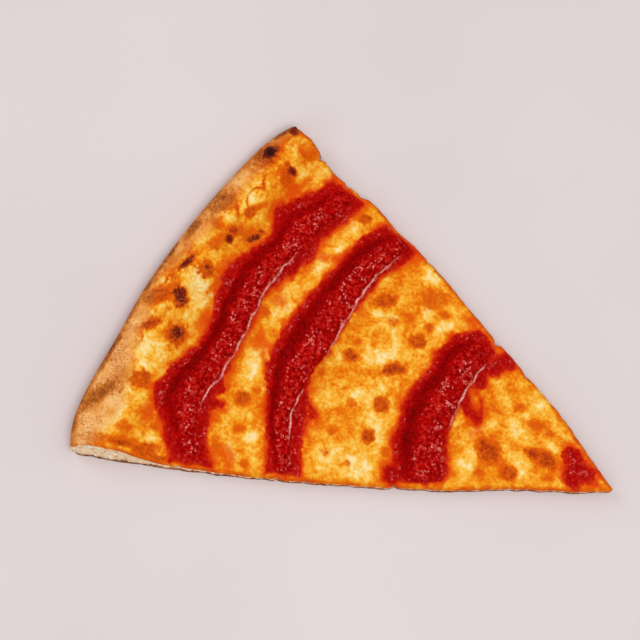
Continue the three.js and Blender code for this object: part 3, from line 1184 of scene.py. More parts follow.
@dataclass(frozen=True)
class Station:
    """The section of a band of sauce at one side.

    Attributes:
        side: Where the section is.
        film: Distances from the tip to the two edges of its thin film.
        ridge: Distances from the tip to the two feet of its thick ridge.
        height: Height of the ridge.
        lip: Height of the bead along the ridge's foot nearer the tip.
    """

    side: float
    film: tuple[float, float]
    ridge: tuple[float, float]
    height: float
    lip: float = 0.5


@dataclass(frozen=True)
class SauceForm:
    """One piece of sauce at many places.

    Attributes:
        height: Height above the cheese, negative outside the sauce.
        grain: Tone of the sauce, higher on the grains of tomato; lower in the crevices and on the ridge's
            far flank as painted shade.
        depth: 0 in the thin film and 1 in the thick ridge.
        wet: 1 on the smooth wet bead along the ridge's foot, where the sauce gets its clear coat and a
            painted highlight line.
        shore: 0 at the sauce's outline and 1 well inside it.
    """

    height: Array
    grain: Array
    depth: Array
    wet: Array
    shore: Array


@dataclass(frozen=True)
class SauceShape:
    """The form of one piece of sauce as its height above the cheese.

    Attributes:
        name: Name of the node that it stands for.
        seed: Picks its unevenness.
        reaches: Where it can lie, as distances from the tip along the middle line.
        stations: Its sections, from the -Y cut to the +Y cut.
        blots: Smears that belong to it.
        bare: Ovals of cheese that show through it.
        margins: How far it ends short of the -Y and of the +Y cut.
        film: Thickness of its thin film.
        grain: Height of the grains of tomato on it.
        grain_size: Width of those grains.
        crest: Where the ridge is highest, from its foot nearer the tip, 0, to its other foot, 1.
        joining: Distance over which its smears run together.
        film_edge: Distance over which its film thickens from the outline.
        rounding: Distance over which the ridge comes down to its ends.
        bead_width: Half the width of the bead along the ridge's foot.
        bead_out: How far the bead stands out from the foot.
    """

    name: str
    seed: int
    reaches: tuple[float, float]
    stations: tuple[Station, ...] = ()
    blots: tuple[Oval, ...] = ()
    bare: tuple[Oval, ...] = ()
    margins: tuple[float, float] = (1.5, 1.5)
    film: float = 0.6
    grain: float = 0.5
    grain_size: float = 1.9
    crest: float = 0.36
    joining: float = 3.0
    film_edge: float = 1.1
    rounding: float = 5.0
    bead_width: float = 0.5
    bead_out: float = 0.35

    def _curve(self, places: Places, values: Sequence[float]) -> Array:
        """A smooth curve through one value of each station."""
        return flowing(places.side, [station.side for station in self.stations], values)

    def _end(self, places: Places) -> Array:
        """Distance to where the sauce ends before the nearer cut."""
        return places.from_cut - np.where(places.side < 0, *self.margins)

    def inside(self, places: Places) -> Array:
        """How far places lie inside the sauce's outline.

        Args:
            places: Where on the slice.

        Returns:
            About how many millimetres, negative outside.
        """
        inside = np.full(np.shape(places.x), -40.0)
        if self.stations:
            low = self._curve(places, [station.film[0] for station in self.stations])
            high = self._curve(places, [station.film[1] for station in self.stations])
            inside = np.minimum(np.minimum(places.reach - low, high - places.reach), self._end(places))
        for blot in self.blots:
            inside = blended_max(inside, blot.inside(places), self.joining)
        for gap in self.bare:
            inside = np.minimum(inside, -gap.inside(places))
        ragged = 0.85 * places.noise(self.seed + SaucePattern.OUTLINE, 6)
        ragged = ragged + 0.55 * places.noise(self.seed + SaucePattern.FINE_OUTLINE, 2.2, 2)
        return inside + ragged

    def _ridge(self, places: Places) -> tuple[Array, Array, Array]:
        """The thick ridge.

        Args:
            places: Where on the slice.

        Returns:
            Its height, the height of the bead along its foot, and how far across it each place is.
        """
        low = self._curve(places, [station.ridge[0] for station in self.stations])
        high = self._curve(places, [station.ridge[1] for station in self.stations])
        height = self._curve(places, [station.height for station in self.stations])
        ragged = 0.7 * places.noise(self.seed + SaucePattern.FOOT, 6, 2)
        across = (places.reach - low + ragged) / (high - low)
        near, far = (self.crest - across) / self.crest, (across - self.crest) / (1 - self.crest)
        steep = np.clip(1 - np.clip(near, 0, 1) ** 2.6, 0, 1) ** 0.55
        gentle = np.clip(1 - np.clip(far, 0, 1) ** 1.9, 0, 1) ** 0.85
        ends = np.clip(self._end(places) / self.rounding, 0, 1)
        full = np.sqrt(ends * (2 - ends))
        lumps = 1 + 0.12 * places.noise(self.seed + SaucePattern.LUMPS, 7, 2)
        lip = self._curve(places, [station.lip for station in self.stations])
        foot = places.reach - low + self.bead_out + ragged
        bead = lip * np.exp(-((foot / self.bead_width) ** 2)) * full
        return height * steep * gentle * full * lumps, bead, across

    def form(self, places: Places) -> SauceForm:
        """Works out the sauce's form.

        Args:
            places: Where on the slice.

        Returns:
            The form there.
        """
        inside = self.inside(places)
        film = self.film * (1 - np.exp(-np.clip(inside, 0, None) / self.film_edge))
        ridge, bead, rough = np.zeros((3, len(inside)))
        if self.stations:
            ridge, bead, across = self._ridge(places)
            rough = 1 - 0.9 * rising(across, 0.5, 0.8)
        body = blended_max(film, ridge, 0.5) + bead
        depth = rising(body, 0.5, 2.6)
        rough = np.where(depth > 0, rough, 0) * depth + 0.6 * (1 - depth) * rising(inside, 0.3, 1.5)
        pulp = 0.5 + 0.5 * places.noise(self.seed + SaucePattern.PULP, self.grain_size * 1.3)
        seeds = Noise(self.seed + SaucePattern.GRAINS).grains(places.x, places.y, self.grain_size * 0.8)
        grain = 0.6 * pulp + 0.4 * seeds
        lumpy = 0.9 * places.noise(self.seed + SaucePattern.MOUNDS, 4.6, 2)
        height = np.where(inside > 0, body + self.grain * rough * (grain - 0.45 + lumpy), inside)
        # Painted shade: the tone drops in the crevices between the grains and on the ridge's smooth far
        # flank, away from the key lamp.
        shade = 0.5 + (grain - 0.45) * rough - 0.42 * (1 - rough) * depth
        shallow = 0.9 * places.noise(self.seed + SaucePattern.SHORE, 3.2, 2)
        # The bead's mask, which carries the painted highlight line as well as the clear coat.
        wet = rising(bead, 0.34, 0.58) * falling(ridge, 0.6, 1.5)
        return SauceForm(height, shade, depth, wet, rising(inside + shallow, -0.8, 2.6))


OUTER_BAND = SauceShape(
    name="sauce_band_outer",
    seed=Seed.OUTER_BAND,
    reaches=(150, 210),
    stations=(
        Station(-1.00, (178, 197), (182, 194), 1.2, 0.0),
        Station(-0.80, (182, 202), (185, 200), 2.2, 0.1),
        Station(-0.62, (182, 209), (188, 206), 3.6, 0.5),
        Station(-0.45, (180, 204), (183, 201), 4.6, 0.7),
        Station(-0.30, (179, 196), (180, 195), 5.0, 0.7),
        Station(-0.15, (177.5, 195), (178.5, 193.5), 5.0, 0.7),
        Station(0.00, (177.5, 197.5), (178.7, 194), 5.0, 0.8),
        Station(0.14, (178, 198.5), (179, 194.5), 5.0, 0.8),
        Station(0.30, (174, 195), (178, 193), 4.6, 0.7),
        Station(0.45, (170, 191), (176.5, 190), 3.8, 0.4),
        Station(0.60, (171, 196), (175, 193), 3.0, 0.1),
        Station(0.80, (169, 190), (173, 188), 2.4, 0.0),
        Station(1.00, (170, 187), (174, 185), 1.4, 0.0),
    ),
    blots=(
        Oval(178, -37, 6, 9, -27),
        Oval(176, -45, 8, 4, -27),
        Oval(172, 26, 18, 6, -67),
        Oval(172, 43, 9, 16, 15),
    ),
    margins=(2.0, 3.0),
)

MIDDLE_BAND = SauceShape(
    name="sauce_band_middle",
    seed=Seed.MIDDLE_BAND,
    reaches=(124, 164),
    stations=(
        Station(-1.00, (139, 154), (140, 152), 1.8, 0.0),
        Station(-0.80, (139.5, 155), (144.5, 154), 3.0, 0.2),
        Station(-0.60, (139.5, 158), (147, 157), 3.8, 0.7),
        Station(-0.42, (141, 160.5), (146, 159.5), 4.4, 0.7),
        Station(-0.25, (143.5, 164), (144, 162), 4.8, 0.2),
        Station(0.00, (140.5, 163), (141, 161), 4.8, 0.7),
        Station(0.25, (140, 161), (141, 159.5), 4.8, 0.8),
        Station(0.50, (139.5, 159), (142, 158), 4.6, 0.8),
        Station(0.75, (139, 159), (142, 157.5), 4.2, 0.6),
        Station(0.92, (137, 157), (141, 154), 2.8, 0.3),
        Station(1.00, (138, 154), (141, 152), 1.6, 0.0),
    ),
    blots=(Oval(136, -27.5, 6, 2, 40), Oval(134, -30.5, 4, 2, -50)),
    margins=(2.4, 1.5),
)

INNER_BAND = SauceShape(
    name="sauce_band_inner",
    seed=Seed.INNER_BAND,
    reaches=(58, 104),
    stations=(
        Station(-1.00, (81, 98), (84, 95), 1.0, 0.0),
        Station(-0.85, (75, 98), (78, 96), 3.0, 0.1),
        Station(-0.60, (74.5, 100), (77, 98.5), 4.2, 0.3),
        Station(-0.30, (77, 100), (78, 99), 4.6, 0.3),
        Station(0.00, (77, 100), (78, 99), 4.8, 0.7),
        Station(0.30, (75, 98), (79, 96.5), 4.8, 0.8),
        Station(0.50, (73, 99), (79, 98), 4.6, 0.7),
        Station(0.70, (77, 98), (80, 96), 3.6, 0.4),
        Station(0.84, (80, 95), (84, 93), 1.2, 0.0),
        Station(1.00, (84, 91), (86, 89), 0.5, 0.0),
    ),
    blots=(
        Oval(91, -37.5, 9, 9, 0),
        Oval(76, -31, 7, 7, 0),
        Oval(71, 26, 8, 10, 20),
        Oval(76, 30, 8, 7, 0),
        Oval(67, 31, 9, 8, 0),
        Oval(74, 7, 9, 12, -30),
        Oval(70, 4, 6, 12, -38),
    ),
    bare=(Oval(71.5, 8.5, 5, 11, -42),),
    margins=(2.5, 2.5),
)

TIP_DAB = SauceShape(
    name="sauce_dab_tip",
    seed=Seed.TIP_DAB,
    reaches=(6, 32),
    blots=(Oval(22.5, 5.5, 9, 8), Oval(16.5, 1.5, 17, 9, 10), Oval(18, -3, 10, 8, 25)),
    margins=(1.0, 1.0),
    film=0.7,
)

SAUCES: tuple[SauceShape, ...] = (OUTER_BAND, MIDDLE_BAND, INNER_BAND, TIP_DAB)


# ------------------------------------------------------------------------------------------------ node trees


class Graph:
    """Short forms for adding nodes to one tree."""

    def __init__(self, tree: bpy.types.NodeTree) -> None:
        """Keeps the tree that the nodes go into."""
        self.tree = tree

    def feed(self, node: bpy.types.Node, inputs: Mapping[str | int, Feed]) -> None:
        """Links or sets inputs of a node.

        Args:
            node: The node.
            inputs: What each of those inputs is linked to or set to.
        """
        for name, value in inputs.items():
            if isinstance(value, Signal):
                self.tree.links.new(value, node.inputs[name])
            else:
                node.inputs[name].default_value = value

    def add(self, kind: str, inputs: Mapping[str | int, Feed], **settings: object) -> bpy.types.Node:
        """Adds a node.

        Args:
            kind: The node's type.
            inputs: What its inputs are linked to or set to.
            settings: The node's own settings.

        Returns:
            The node.
        """
        node = self.tree.nodes.new(kind)
        for name, value in settings.items():
            setattr(node, name, value)
        self.feed(node, inputs)
        return node

    def noise(
        self, place: Feed, size: float, detail: float = 2.0, roughness: float = 0.5, distortion: float = 0.0
    ) -> Signal:
        """Noise from 0 to 1.

        Args:
            place: Where it is read.
            size: Width of its bumps in millimetres.
            detail: How many finer layers it has.
            roughness: Strength of each layer against the one before.
            distortion: How much the bumps are bent.

        Returns:
            The noise.
        """
        inputs = {
            "Vector": place,
            "Scale": 1 / (size * MILLIMETRE),
            "Detail": detail,
            "Roughness": roughness,
            "Distortion": distortion,
        }
        return self.add("ShaderNodeTexNoise", inputs).outputs[0]

    def ramp(self, value: Feed, low: float, high: float, start: float = 0.0, end: float = 1.0) -> Signal:
        """A smooth ramp from start at low to end at high."""
        inputs = {"Value": value, "From Min": low, "From Max": high, "To Min": start, "To Max": end}
        return self.add("ShaderNodeMapRange", inputs, interpolation_type="SMOOTHSTEP").outputs[0]

    def math(self, operation: str, first: Feed, second: Feed = 0.0) -> Signal:
        """One sum of two values."""
        return self.add("ShaderNodeMath", {0: first, 1: second}, operation=operation).outputs[0]

    def product(self, value: Feed, *shares: Feed) -> Feed:
        """Multiplies values.

        Args:
            value: The first one.
            shares: What it is multiplied by.

        Returns:
            The product.
        """
        for share in shares:
            value = self.math("MULTIPLY", value, share)
        return value

    def total(self, *terms: tuple[Feed, Feed], start: Feed = 0.0) -> Feed:
        """Adds up products.

        Args:
            terms: Pairs of which each gives a product.
            start: What they are added to.

        Returns:
            The total.
        """
        for value, share in terms:
            inputs = {0: value, 1: share, 2: start}
            start = self.add("ShaderNodeMath", inputs, operation="MULTIPLY_ADD").outputs[0]
        return start

    def swing(self, value: Feed, size: float) -> Feed:
        """A value from 0 to 1 turned into one from -size / 2 to size / 2."""
        return self.total((value, size), start=-size / 2)

    def mix(self, share: Feed, first: Feed, second: Feed) -> Signal:
        """A colour between two."""
        return self.add("ShaderNodeMix", {0: share, 6: first, 7: second}, data_type="RGBA").outputs[2]

    def tones(self, value: Feed, stops: Tones) -> Signal:
        """A colour read off a row of stops.

        Args:
            value: Where the row is read, from 0 to 1.
            stops: Places in the row and the colours there.

        Returns:
            The colour.
        """
        node = self.add("ShaderNodeValToRGB", {0: value})
        elements = node.color_ramp.elements
        elements[0].position, elements[0].color = stops[0]
        elements[1].position, elements[1].color = stops[-1]
        for position, colour in stops[1:-1]:
            elements.new(position).color = colour
        return node.outputs[0]

    def painted(self, name: str) -> Signal:
        """A value painted on the mesh."""
        return self.add("ShaderNodeAttribute", {}, attribute_name=name).outputs["Fac"]


class Kind(Enum):
    """What a socket of a shader group carries."""

    NUMBER = "NodeSocketFloat"
    COLOUR = "NodeSocketColor"
    PLACE = "NodeSocketVector"


def numbers(*names: str) -> dict[str, Kind]:
    """Sockets that each carry a number."""
    return dict.fromkeys(names, Kind.NUMBER)


def new_group(
    name: str, inputs: Mapping[str, Kind], outputs: Mapping[str, Kind]
) -> tuple[Graph, Mapping[str, Signal], bpy.types.Node]:
    """Starts a shader group.

    Args:
        name: The group's name.
        inputs: Names and kinds of its inputs.
        outputs: Names and kinds of its outputs.

    Returns:
        Its graph, what its inputs give by name, and its output node.
    """
    tree = bpy.data.node_groups.new(name, "ShaderNodeTree")
    for direction, sockets in (("INPUT", inputs), ("OUTPUT", outputs)):
        for socket, kind in sockets.items():
            tree.interface.new_socket(socket, in_out=direction, socket_type=kind.value)
    graph = Graph(tree)
    return graph, graph.add("NodeGroupInput", {}).outputs, graph.add("NodeGroupOutput", {})


@dataclass(frozen=True)
class Mottle:
    """Shared effect: soft patches, finer blotches in them, and sparse freckles.

    Attributes:
        name: The group's name.
        wide: Width of the wider patches.
        narrow: Width of the narrower ones between them.
        fine: Width of the blotches.
        freckle: Width of a freckle.
    """

    name: str = "Mottle"
    wide: float = 11.0
    narrow: float = 4.6
    fine: float = 1.5
    freckle: float = 1.8

    def build(self) -> bpy.types.NodeTree:
        """Makes the group.

        Returns:
            The group, which puts out a number for each of the three.
        """
        outputs = numbers("Patches", "Fine", "Freckles")
        graph, given, out = new_group(self.name, {"Place": Kind.PLACE}, outputs)
        place = given["Place"]
        wide = graph.noise(place, self.wide, 1, 0.5, 0.4)
        narrow = graph.noise(place, self.narrow, 2, 0.5, 0.5)
        signals = {
            "Patches": graph.total((wide, 0.45), (narrow, 0.55)),
            "Fine": graph.noise(place, self.fine, 4, 0.72),
            "Freckles": graph.ramp(graph.noise(place, self.freckle, 3, 0.7, 0.8), 0.57, 0.70),
        }
        graph.feed(out, signals)
        return graph.tree


@dataclass(frozen=True)
class Toasting:
    """Shared effect: browning and charring over a colour, with tiny painted highlights on charred places.

    Attributes:
        name: The group's name.
        golden: Colours of light browning, of bare crust and of cheese.
        brown: Colours of full browning, of bare crust and of cheese.
        scorch: Colour of places that are nearly burnt.
        char: Colour of burnt places.
        speck_highlight: Colour of the tiny painted highlights on charred places.
        grain: Width of the unevenness that breaks up the browning.
        breakup: How far it does.
    """

    name: str = "Toasting"
    golden: tuple[Colour, Colour] = (srgb(212, 122, 44), srgb(224, 96, 6))
    brown: tuple[Colour, Colour] = (srgb(136, 64, 22), srgb(160, 44, 8))
    scorch: Colour = srgb(104, 22, 8)
    char: Colour = srgb(44, 16, 12)
    speck_highlight: Colour = srgb(214, 130, 96)
    grain: float = 1.4
    breakup: float = 2.1

    def build(self) -> bpy.types.NodeTree:
        """Makes the group.

        Returns:
            The group, which puts out the toasted colour.
        """
        inputs = {"Place": Kind.PLACE, "Colour": Kind.COLOUR, **numbers("Cover", "Brown", "Char")}
        graph, given, out = new_group(self.name, inputs, {"Colour": Kind.COLOUR})
        uneven = graph.swing(graph.noise(given["Place"], self.grain, 4, 0.75), self.breakup)
        brown = graph.total((uneven, given["Brown"]), (uneven, 0.13), start=given["Brown"])
        char = graph.total((uneven, given["Char"]), start=given["Char"])
        golden = graph.mix(given["Cover"], *self.golden)
        toasted = graph.mix(graph.ramp(brown, 0.08, 0.56), given["Colour"], golden)
        toasted = graph.mix(graph.ramp(brown, 0.34, 1.0), toasted, graph.mix(given["Cover"], *self.brown))
        scorched = graph.mix(graph.ramp(char, 0.05, 0.5, 0.0, 0.9), toasted, self.scorch)
        burnt = graph.mix(graph.ramp(char, 0.5, 1.05), scorched, self.char)
        # Tiny painted highlights scattered over the places that are partly charred.
        specks = graph.product(
            graph.ramp(graph.noise(given["Place"], 0.8, 1), 0.62, 0.72, 0.0, 0.6),
            graph.ramp(given["Char"], 0.12, 0.3),
            graph.ramp(given["Char"], 0.8, 0.5),
        )
        graph.feed(out, {"Colour": graph.mix(specks, burnt, self.speck_highlight)})
        return graph.tree


@dataclass(frozen=True)
class BakedTop:
    """Shared effect: the top of the slice, from bare floury crust to melted cheese.

    Attributes:
        name: The group's name.
        cheese: Tones of the cheese, from where it is thin and oily to where it is pale.
        crust: Tones of the bare crust.
        flour: Colour of the flour on it.
        fleck: Colour of the dark flecks in the flour.
        stain: Colour of the cheese that red oil has soaked.
        soaked: Colour of the cheese right beside the sauce.
        crust_rough: Roughness of the bare crust.
    """

    name: str = "Baked top"
    cheese: Tones = (
        (0.26, srgb(228, 90, 4)),
        (0.38, srgb(234, 116, 8)),
        (0.47, srgb(243, 146, 20)),
        (0.55, srgb(250, 174, 46)),
        (0.64, srgb(254, 200, 84)),
        (0.76, srgb(255, 228, 164)),
    )
    crust: Tones = ((0.34, srgb(204, 116, 40)), (0.50, srgb(238, 160, 76)), (0.64, srgb(252, 200, 124)))
    flour: Colour = srgb(252, 212, 164)
    fleck: Colour = srgb(106, 56, 28)
    stain: Colour = srgb(230, 76, 6)
    soaked: Colour = srgb(202, 30, 4)
    crust_rough: float = 0.72

    def build(self, mottle: bpy.types.NodeTree, toasting: bpy.types.NodeTree) -> bpy.types.NodeTree:
        """Makes the group.

        Args:
            mottle: The group of patches.
            toasting: The group of browning.

        Returns:
            The group, which puts out a colour, a roughness and a height.
        """
        inputs = {"Place": Kind.PLACE, **numbers(*PAINTED)}
        outputs = {"Colour": Kind.COLOUR, **numbers("Roughness", "Height")}
        graph, given, out = new_group(self.name, inputs, outputs)
        place, cover = given["Place"], given["Cover"]
        mottled = graph.add("ShaderNodeGroup", {"Place": place}, node_tree=mottle).outputs
        grain = graph.noise(place, 0.8, 2, 0.7)
        darkened = graph.total((mottled["Freckles"], 0.1), (given["Stain"], 0.5), start=given["Brown"])
        shares = ((mottled["Patches"], 0.9), (mottled["Fine"], 0.6), (given["Pale"], 0.16), (darkened, -0.4))
        tone = graph.total(*shares, start=-0.25)
        cloud = graph.total((graph.noise(place, 9, 4, 0.55), 0.6), (mottled["Fine"], 0.4))
        floury = graph.product(given["Flour"], graph.ramp(grain, 0.48, 0.60, 0.0, 0.9))
        flecked = graph.product(given["Flour"], graph.ramp(grain, 0.44, 0.32, 0.0, 0.9))
        crust = graph.mix(floury, graph.tones(cloud, self.crust), self.flour)
        crust = graph.mix(flecked, crust, self.fleck)
        skin = {"Place": place, "Colour": graph.mix(cover, crust, graph.tones(tone, self.cheese))}
        baked = {name: given[name] for name in ("Cover", "Brown", "Char")}
        toasted = graph.add("ShaderNodeGroup", skin | baked, node_tree=toasting).outputs["Colour"]
        uneven = graph.swing(graph.noise(place, 2.2, 3, 0.6), 0.5)
        stain = graph.total((uneven, given["Stain"]), start=given["Stain"])
        stained = graph.mix(graph.ramp(stain, 0.08, 0.5, 0.0, 0.85), toasted, self.stain)
        oily = graph.ramp(tone, 0.35, 0.7, 0.36, 0.5)
        rough = graph.add("ShaderNodeMix", {0: cover, 2: self.crust_rough, 3: oily}, data_type="FLOAT")
        signals = {
            "Colour": graph.mix(graph.ramp(stain, 0.45, 0.85), stained, self.soaked),
            "Roughness": rough.outputs[0],
            "Height": graph.total((grain, 0.5), start=mottled["Fine"]),
        }
        graph.feed(out, signals)
        return graph.tree


# ------------------------------------------------------------------------------------------------ finishes


@dataclass(frozen=True)
class Scatter:
    """How light spreads under a surface.

    Attributes:
        weight: Share of the light that does so.
        colours: How far red, green and blue go, as shares of the reach.
        reach: How far it goes, in millimetres.
    """

    weight: float
    colours: tuple[float, float, float]
    reach: float

    def inputs(self) -> dict[str, Feed]:
        """What it gives to a shader."""
        given = {"Weight": self.weight, "Radius": self.colours, "Scale": self.reach * MILLIMETRE}
        return {f"Subsurface {name}": value for name, value in given.items()}


class Draft(Graph):
    """The graph of a material in the making, with its shader and the places on its object."""

    def __init__(self, name: str) -> None:
        """Starts the material.

        Args:
            name: The material's name.
        """
        self.material = bpy.data.materials.new(name)
        self.material.use_nodes = True
        super().__init__(self.material.node_tree)
        self.shader = self.tree.nodes["Principled BSDF"]
        self.place = self.add("ShaderNodeTexCoord", {}).outputs["Object"]

    def baked(self, top: bpy.types.NodeTree) -> Mapping[str, Signal]:
        """What the top's group puts out when it is fed with the painted values."""
        inputs = {name: self.painted(name.lower()) for name in PAINTED}
        return self.add("ShaderNodeGroup", {"Place": self.place, **inputs}, node_tree=top).outputs

    def relief(self, height: Feed, strength: float, depth: float = 0.5) -> Signal:
        """Relief so many millimetres deep, of which the given share shows."""
        inputs = {"Height": height, "Distance": depth * MILLIMETRE, "Strength": strength}
        return self.add("ShaderNodeBump", inputs).outputs[0]

    def finished(self, inputs: Mapping[str, Feed]) -> bpy.types.Material:
        """The material, with its shader fed."""
        self.feed(self.shader, inputs)
        return self.material


@dataclass(frozen=True)
class CheeseFinish:
    """Melted cheese, mottled, blistered and stained by the sauce.

    Attributes:
        top: The group for the top of the slice.
        scatter: How light spreads in it.
    """

    top: bpy.types.NodeTree
    scatter: Scatter = Scatter(0.12, (1.0, 0.5, 0.15), 1.2)

    def build(self) -> bpy.types.Material:
        """Makes the material.

        Returns:
            The material.
        """
        draft = Draft("melted cheese")
        top = draft.baked(self.top)
        inputs = {
            "Base Color": top["Colour"],
            "Roughness": top["Roughness"],
            "Normal": draft.relief(top["Height"], 0.85),
            "Specular IOR Level": 0.03,
        }
        return draft.finished(inputs | self.scatter.inputs())


@dataclass(frozen=True)
class DoughFinish:
    """Baked dough: floury crust outside, pale crumb at the cuts, a browned base.

    Attributes:
        top: The group for the top of the slice.
        crumb: Tones of the crumb.
        base: Tones of the underside.
        scorched: Colour of the foot of the cuts, as scorched crust and painted contact shadow.
        scatter: How light spreads in it.
    """

    top: bpy.types.NodeTree
    crumb: Tones = ((0.34, srgb(230, 172, 118)), (0.48, srgb(252, 220, 178)), (0.64, srgb(255, 242, 218)))
    base: Tones = ((0.36, srgb(216, 160, 106)), (0.56, srgb(188, 116, 62)), (0.72, srgb(112, 58, 28)))
    scorched: Colour = srgb(138, 62, 26)
    scatter: Scatter = Scatter(0.06, (1.0, 0.6, 0.3), 1.0)

    def build(self) -> bpy.types.Material:
        """Makes the material.

        Returns:
            The material.
        """
        draft = Draft("baked dough")
        top = draft.baked(self.top)
        open_face = draft.painted("crumb")
        airy = draft.noise(draft.place, 1.8, 4, 0.65)
        colour = draft.mix(open_face, top["Colour"], draft.tones(airy, self.crumb))
        base = draft.tones(draft.noise(draft.place, 7, 4, 0.65, 0.4), self.base)
        colour = draft.mix(draft.painted("base"), colour, base)
        # The foot of the cuts is darkened as scorched crust and as painted contact shadow along the floor.
        scorched = draft.product(draft.painted("scorch"), draft.ramp(airy, 0.3, 0.55, 0.35, 1.0))
        inputs = {
            "Base Color": draft.mix(scorched, colour, self.scorched),
            "Roughness": 0.7,
            "Normal": draft.relief(draft.total((airy, open_face), start=top["Height"]), 0.8),
            "Specular IOR Level": 0.05,
        }
        return draft.finished(inputs | self.scatter.inputs())


@dataclass(frozen=True)
class SauceFinish:
    """Thick tomato sauce: wet, deep red, with paler pulp, painted highlights and painted shade.

    Attributes:
        pulp: Tones of the thick sauce.
        film: Tones of the thin film, from its shore inwards.
        glint: Colour of the small painted highlights mixed into the sauce's colour.
        painted_highlight_line: Colour of the painted highlight along the smooth bead at a ridge's foot.
        scatter: How light spreads in it.
    """

    pulp: Tones = (
        (0.30, srgb(98, 0, 0)),
        (0.43, srgb(152, 1, 1)),
        (0.54, srgb(190, 7, 5)),
        (0.68, srgb(222, 46, 28)),
    )
    film: Tones = ((0.0, srgb(220, 64, 8)), (0.28, srgb(202, 28, 7)), (0.85, srgb(184, 14, 6)))
    glint: Colour = srgb(236, 140, 128)
    painted_highlight_line: Colour = srgb(254, 172, 156)
    scatter: Scatter = Scatter(0.08, (1.0, 0.1, 0.05), 0.8)

    def build(self) -> bpy.types.Material:
        """Makes the material.

        Returns:
            The material.
        """
        draft = Draft("tomato sauce")
        grain, depth = draft.painted("grain"), draft.painted("depth")
        pulp = draft.noise(draft.place, 0.9, 3, 0.72)
        blotches = draft.noise(draft.place, 6, 3, 0.6)
        # The painted grain value carries painted shade in the crevices and on each ridge's far flank.
        tone = draft.total((pulp, 0.5), (blotches, 0.2), (grain, 0.3))
        shore = draft.math("ADD", draft.painted("shore"), draft.ramp(pulp, 0.3, 0.7, -0.22, 0.22))
        thick = draft.math("MAXIMUM", draft.ramp(depth, 0.0, 0.3), draft.ramp(shore, 0.35, 1.0, 0.0, 0.7))
        colour = draft.mix(thick, draft.tones(shore, self.film), draft.tones(tone, self.pulp))
        glints = self._glints(draft, grain, depth)
        # Painted highlights: the glints lighten the base colour, and they also get a clear coat.
        colour = draft.mix(draft.product(glints, 0.9), colour, self.glint)
        # The painted highlight line along the bead at each ridge's foot, broken here and there; the bead
        # also gets a clear coat.
        broken = draft.ramp(draft.noise(draft.place, 4), 0.34, 0.56, 0.2, 0.95)
        line = draft.product(draft.painted("wet"), broken)
        rough_pulp = draft.math("ADD", pulp, draft.noise(draft.place, 0.6, 2, 0.6))
        inputs = {
            "Base Color": draft.mix(line, colour, self.painted_highlight_line),
            "Roughness": 0.4,
            "Normal": draft.relief(rough_pulp, 0.9),
            "Specular IOR Level": 0.02,
            "Coat Weight": draft.math("MAXIMUM", line, glints),
            "Coat Roughness": 0.12,
        }
        return draft.finished(inputs | self.scatter.inputs())

    def _glints(self, draft: Draft, grain: Signal, depth: Signal) -> Feed:
        """Small winding painted highlights and specks, in clumps on the grains of the sauce.

        Args:
            draft: The material in the making.
            grain: 1 on the grains.
            depth: 1 in the thick sauce.

        Returns:
            How much each place gets of the painted highlight colour and of the clear coat.
        """
        winding = draft.noise(draft.place, 2.0, 1.5, 0.5, 0.6)
        off_line = draft.math("ABSOLUTE", draft.math("SUBTRACT", winding, 0.5))
        squiggles = draft.ramp(off_line, 0.015, 0.07, 1.0, 0.0)
        specks = draft.ramp(draft.noise(draft.place, 0.9, 1), 0.60, 0.70, 0.0, 0.8)
        return draft.product(
            draft.math("MAXIMUM", squiggles, specks),
            draft.ramp(draft.noise(draft.place, 5), 0.48, 0.66, 0.05, 1.0),
            draft.ramp(grain, 0.46, 0.64),
            draft.ramp(depth, 0.0, 0.5, 0.5, 1.0),
        )


@dataclass(frozen=True)
class TableFinish:
    """A plain pale table top.

    Attributes:
        tones: Its faintly clouded colours.
        cloud: Width of the clouds.
        rough: Its roughness.
    """

    tones: Tones = ((0.3, srgb(219, 207, 208)), (0.7, srgb(225, 214, 215)))
    cloud: float = 180.0
    rough: float = 0.75

    def build(self) -> bpy.types.Material:
        """Makes the material.

        Returns:
            The material.
        """
        draft = Draft("pale table")
        colour = draft.tones(draft.noise(draft.place, self.cloud), self.tones)
        return draft.finished({"Base Color": colour, "Roughness": self.rough})


# ------------------------------------------------------------------------------------------------ pieces


@dataclass(frozen=True)
class Kitchen:
    """What every piece of the slice is made with.

    Attributes:
        plan: The slice's plan.
        skin: The unevenness of its dough.
        placement: Puts the plan into the frame.
        bake: Where the slice is baked.
        top: The shader group for the top of the slice.
    """

    plan: PiePlan
    skin: CrustSkin
    placement: Placement
    bake: BakeMap
    top: bpy.types.NodeTree

    def serve(self, blank: Blank, node: str, slot: str, material: bpy.types.Material) -> bpy.types.Object:
        """Makes a shaped blank a piece of the slice.

        Args:
            blank: The blank, already shaped.
            node: The node that it stands for, which also gives its name.
            slot: Not used.
            material: Its finish.

        Returns:
            The piece.
        """
        piece = bpy.data.objects.new(f"{node}_baked", blank.mesh)
        bpy.context.scene.collection.objects.link(piece)
        blank.mesh.materials.append(material)
        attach(piece, BODY)
        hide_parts(node)
        LOG.info("%s: %d faces", piece.name, len(blank.mesh.polygons))
        return piece


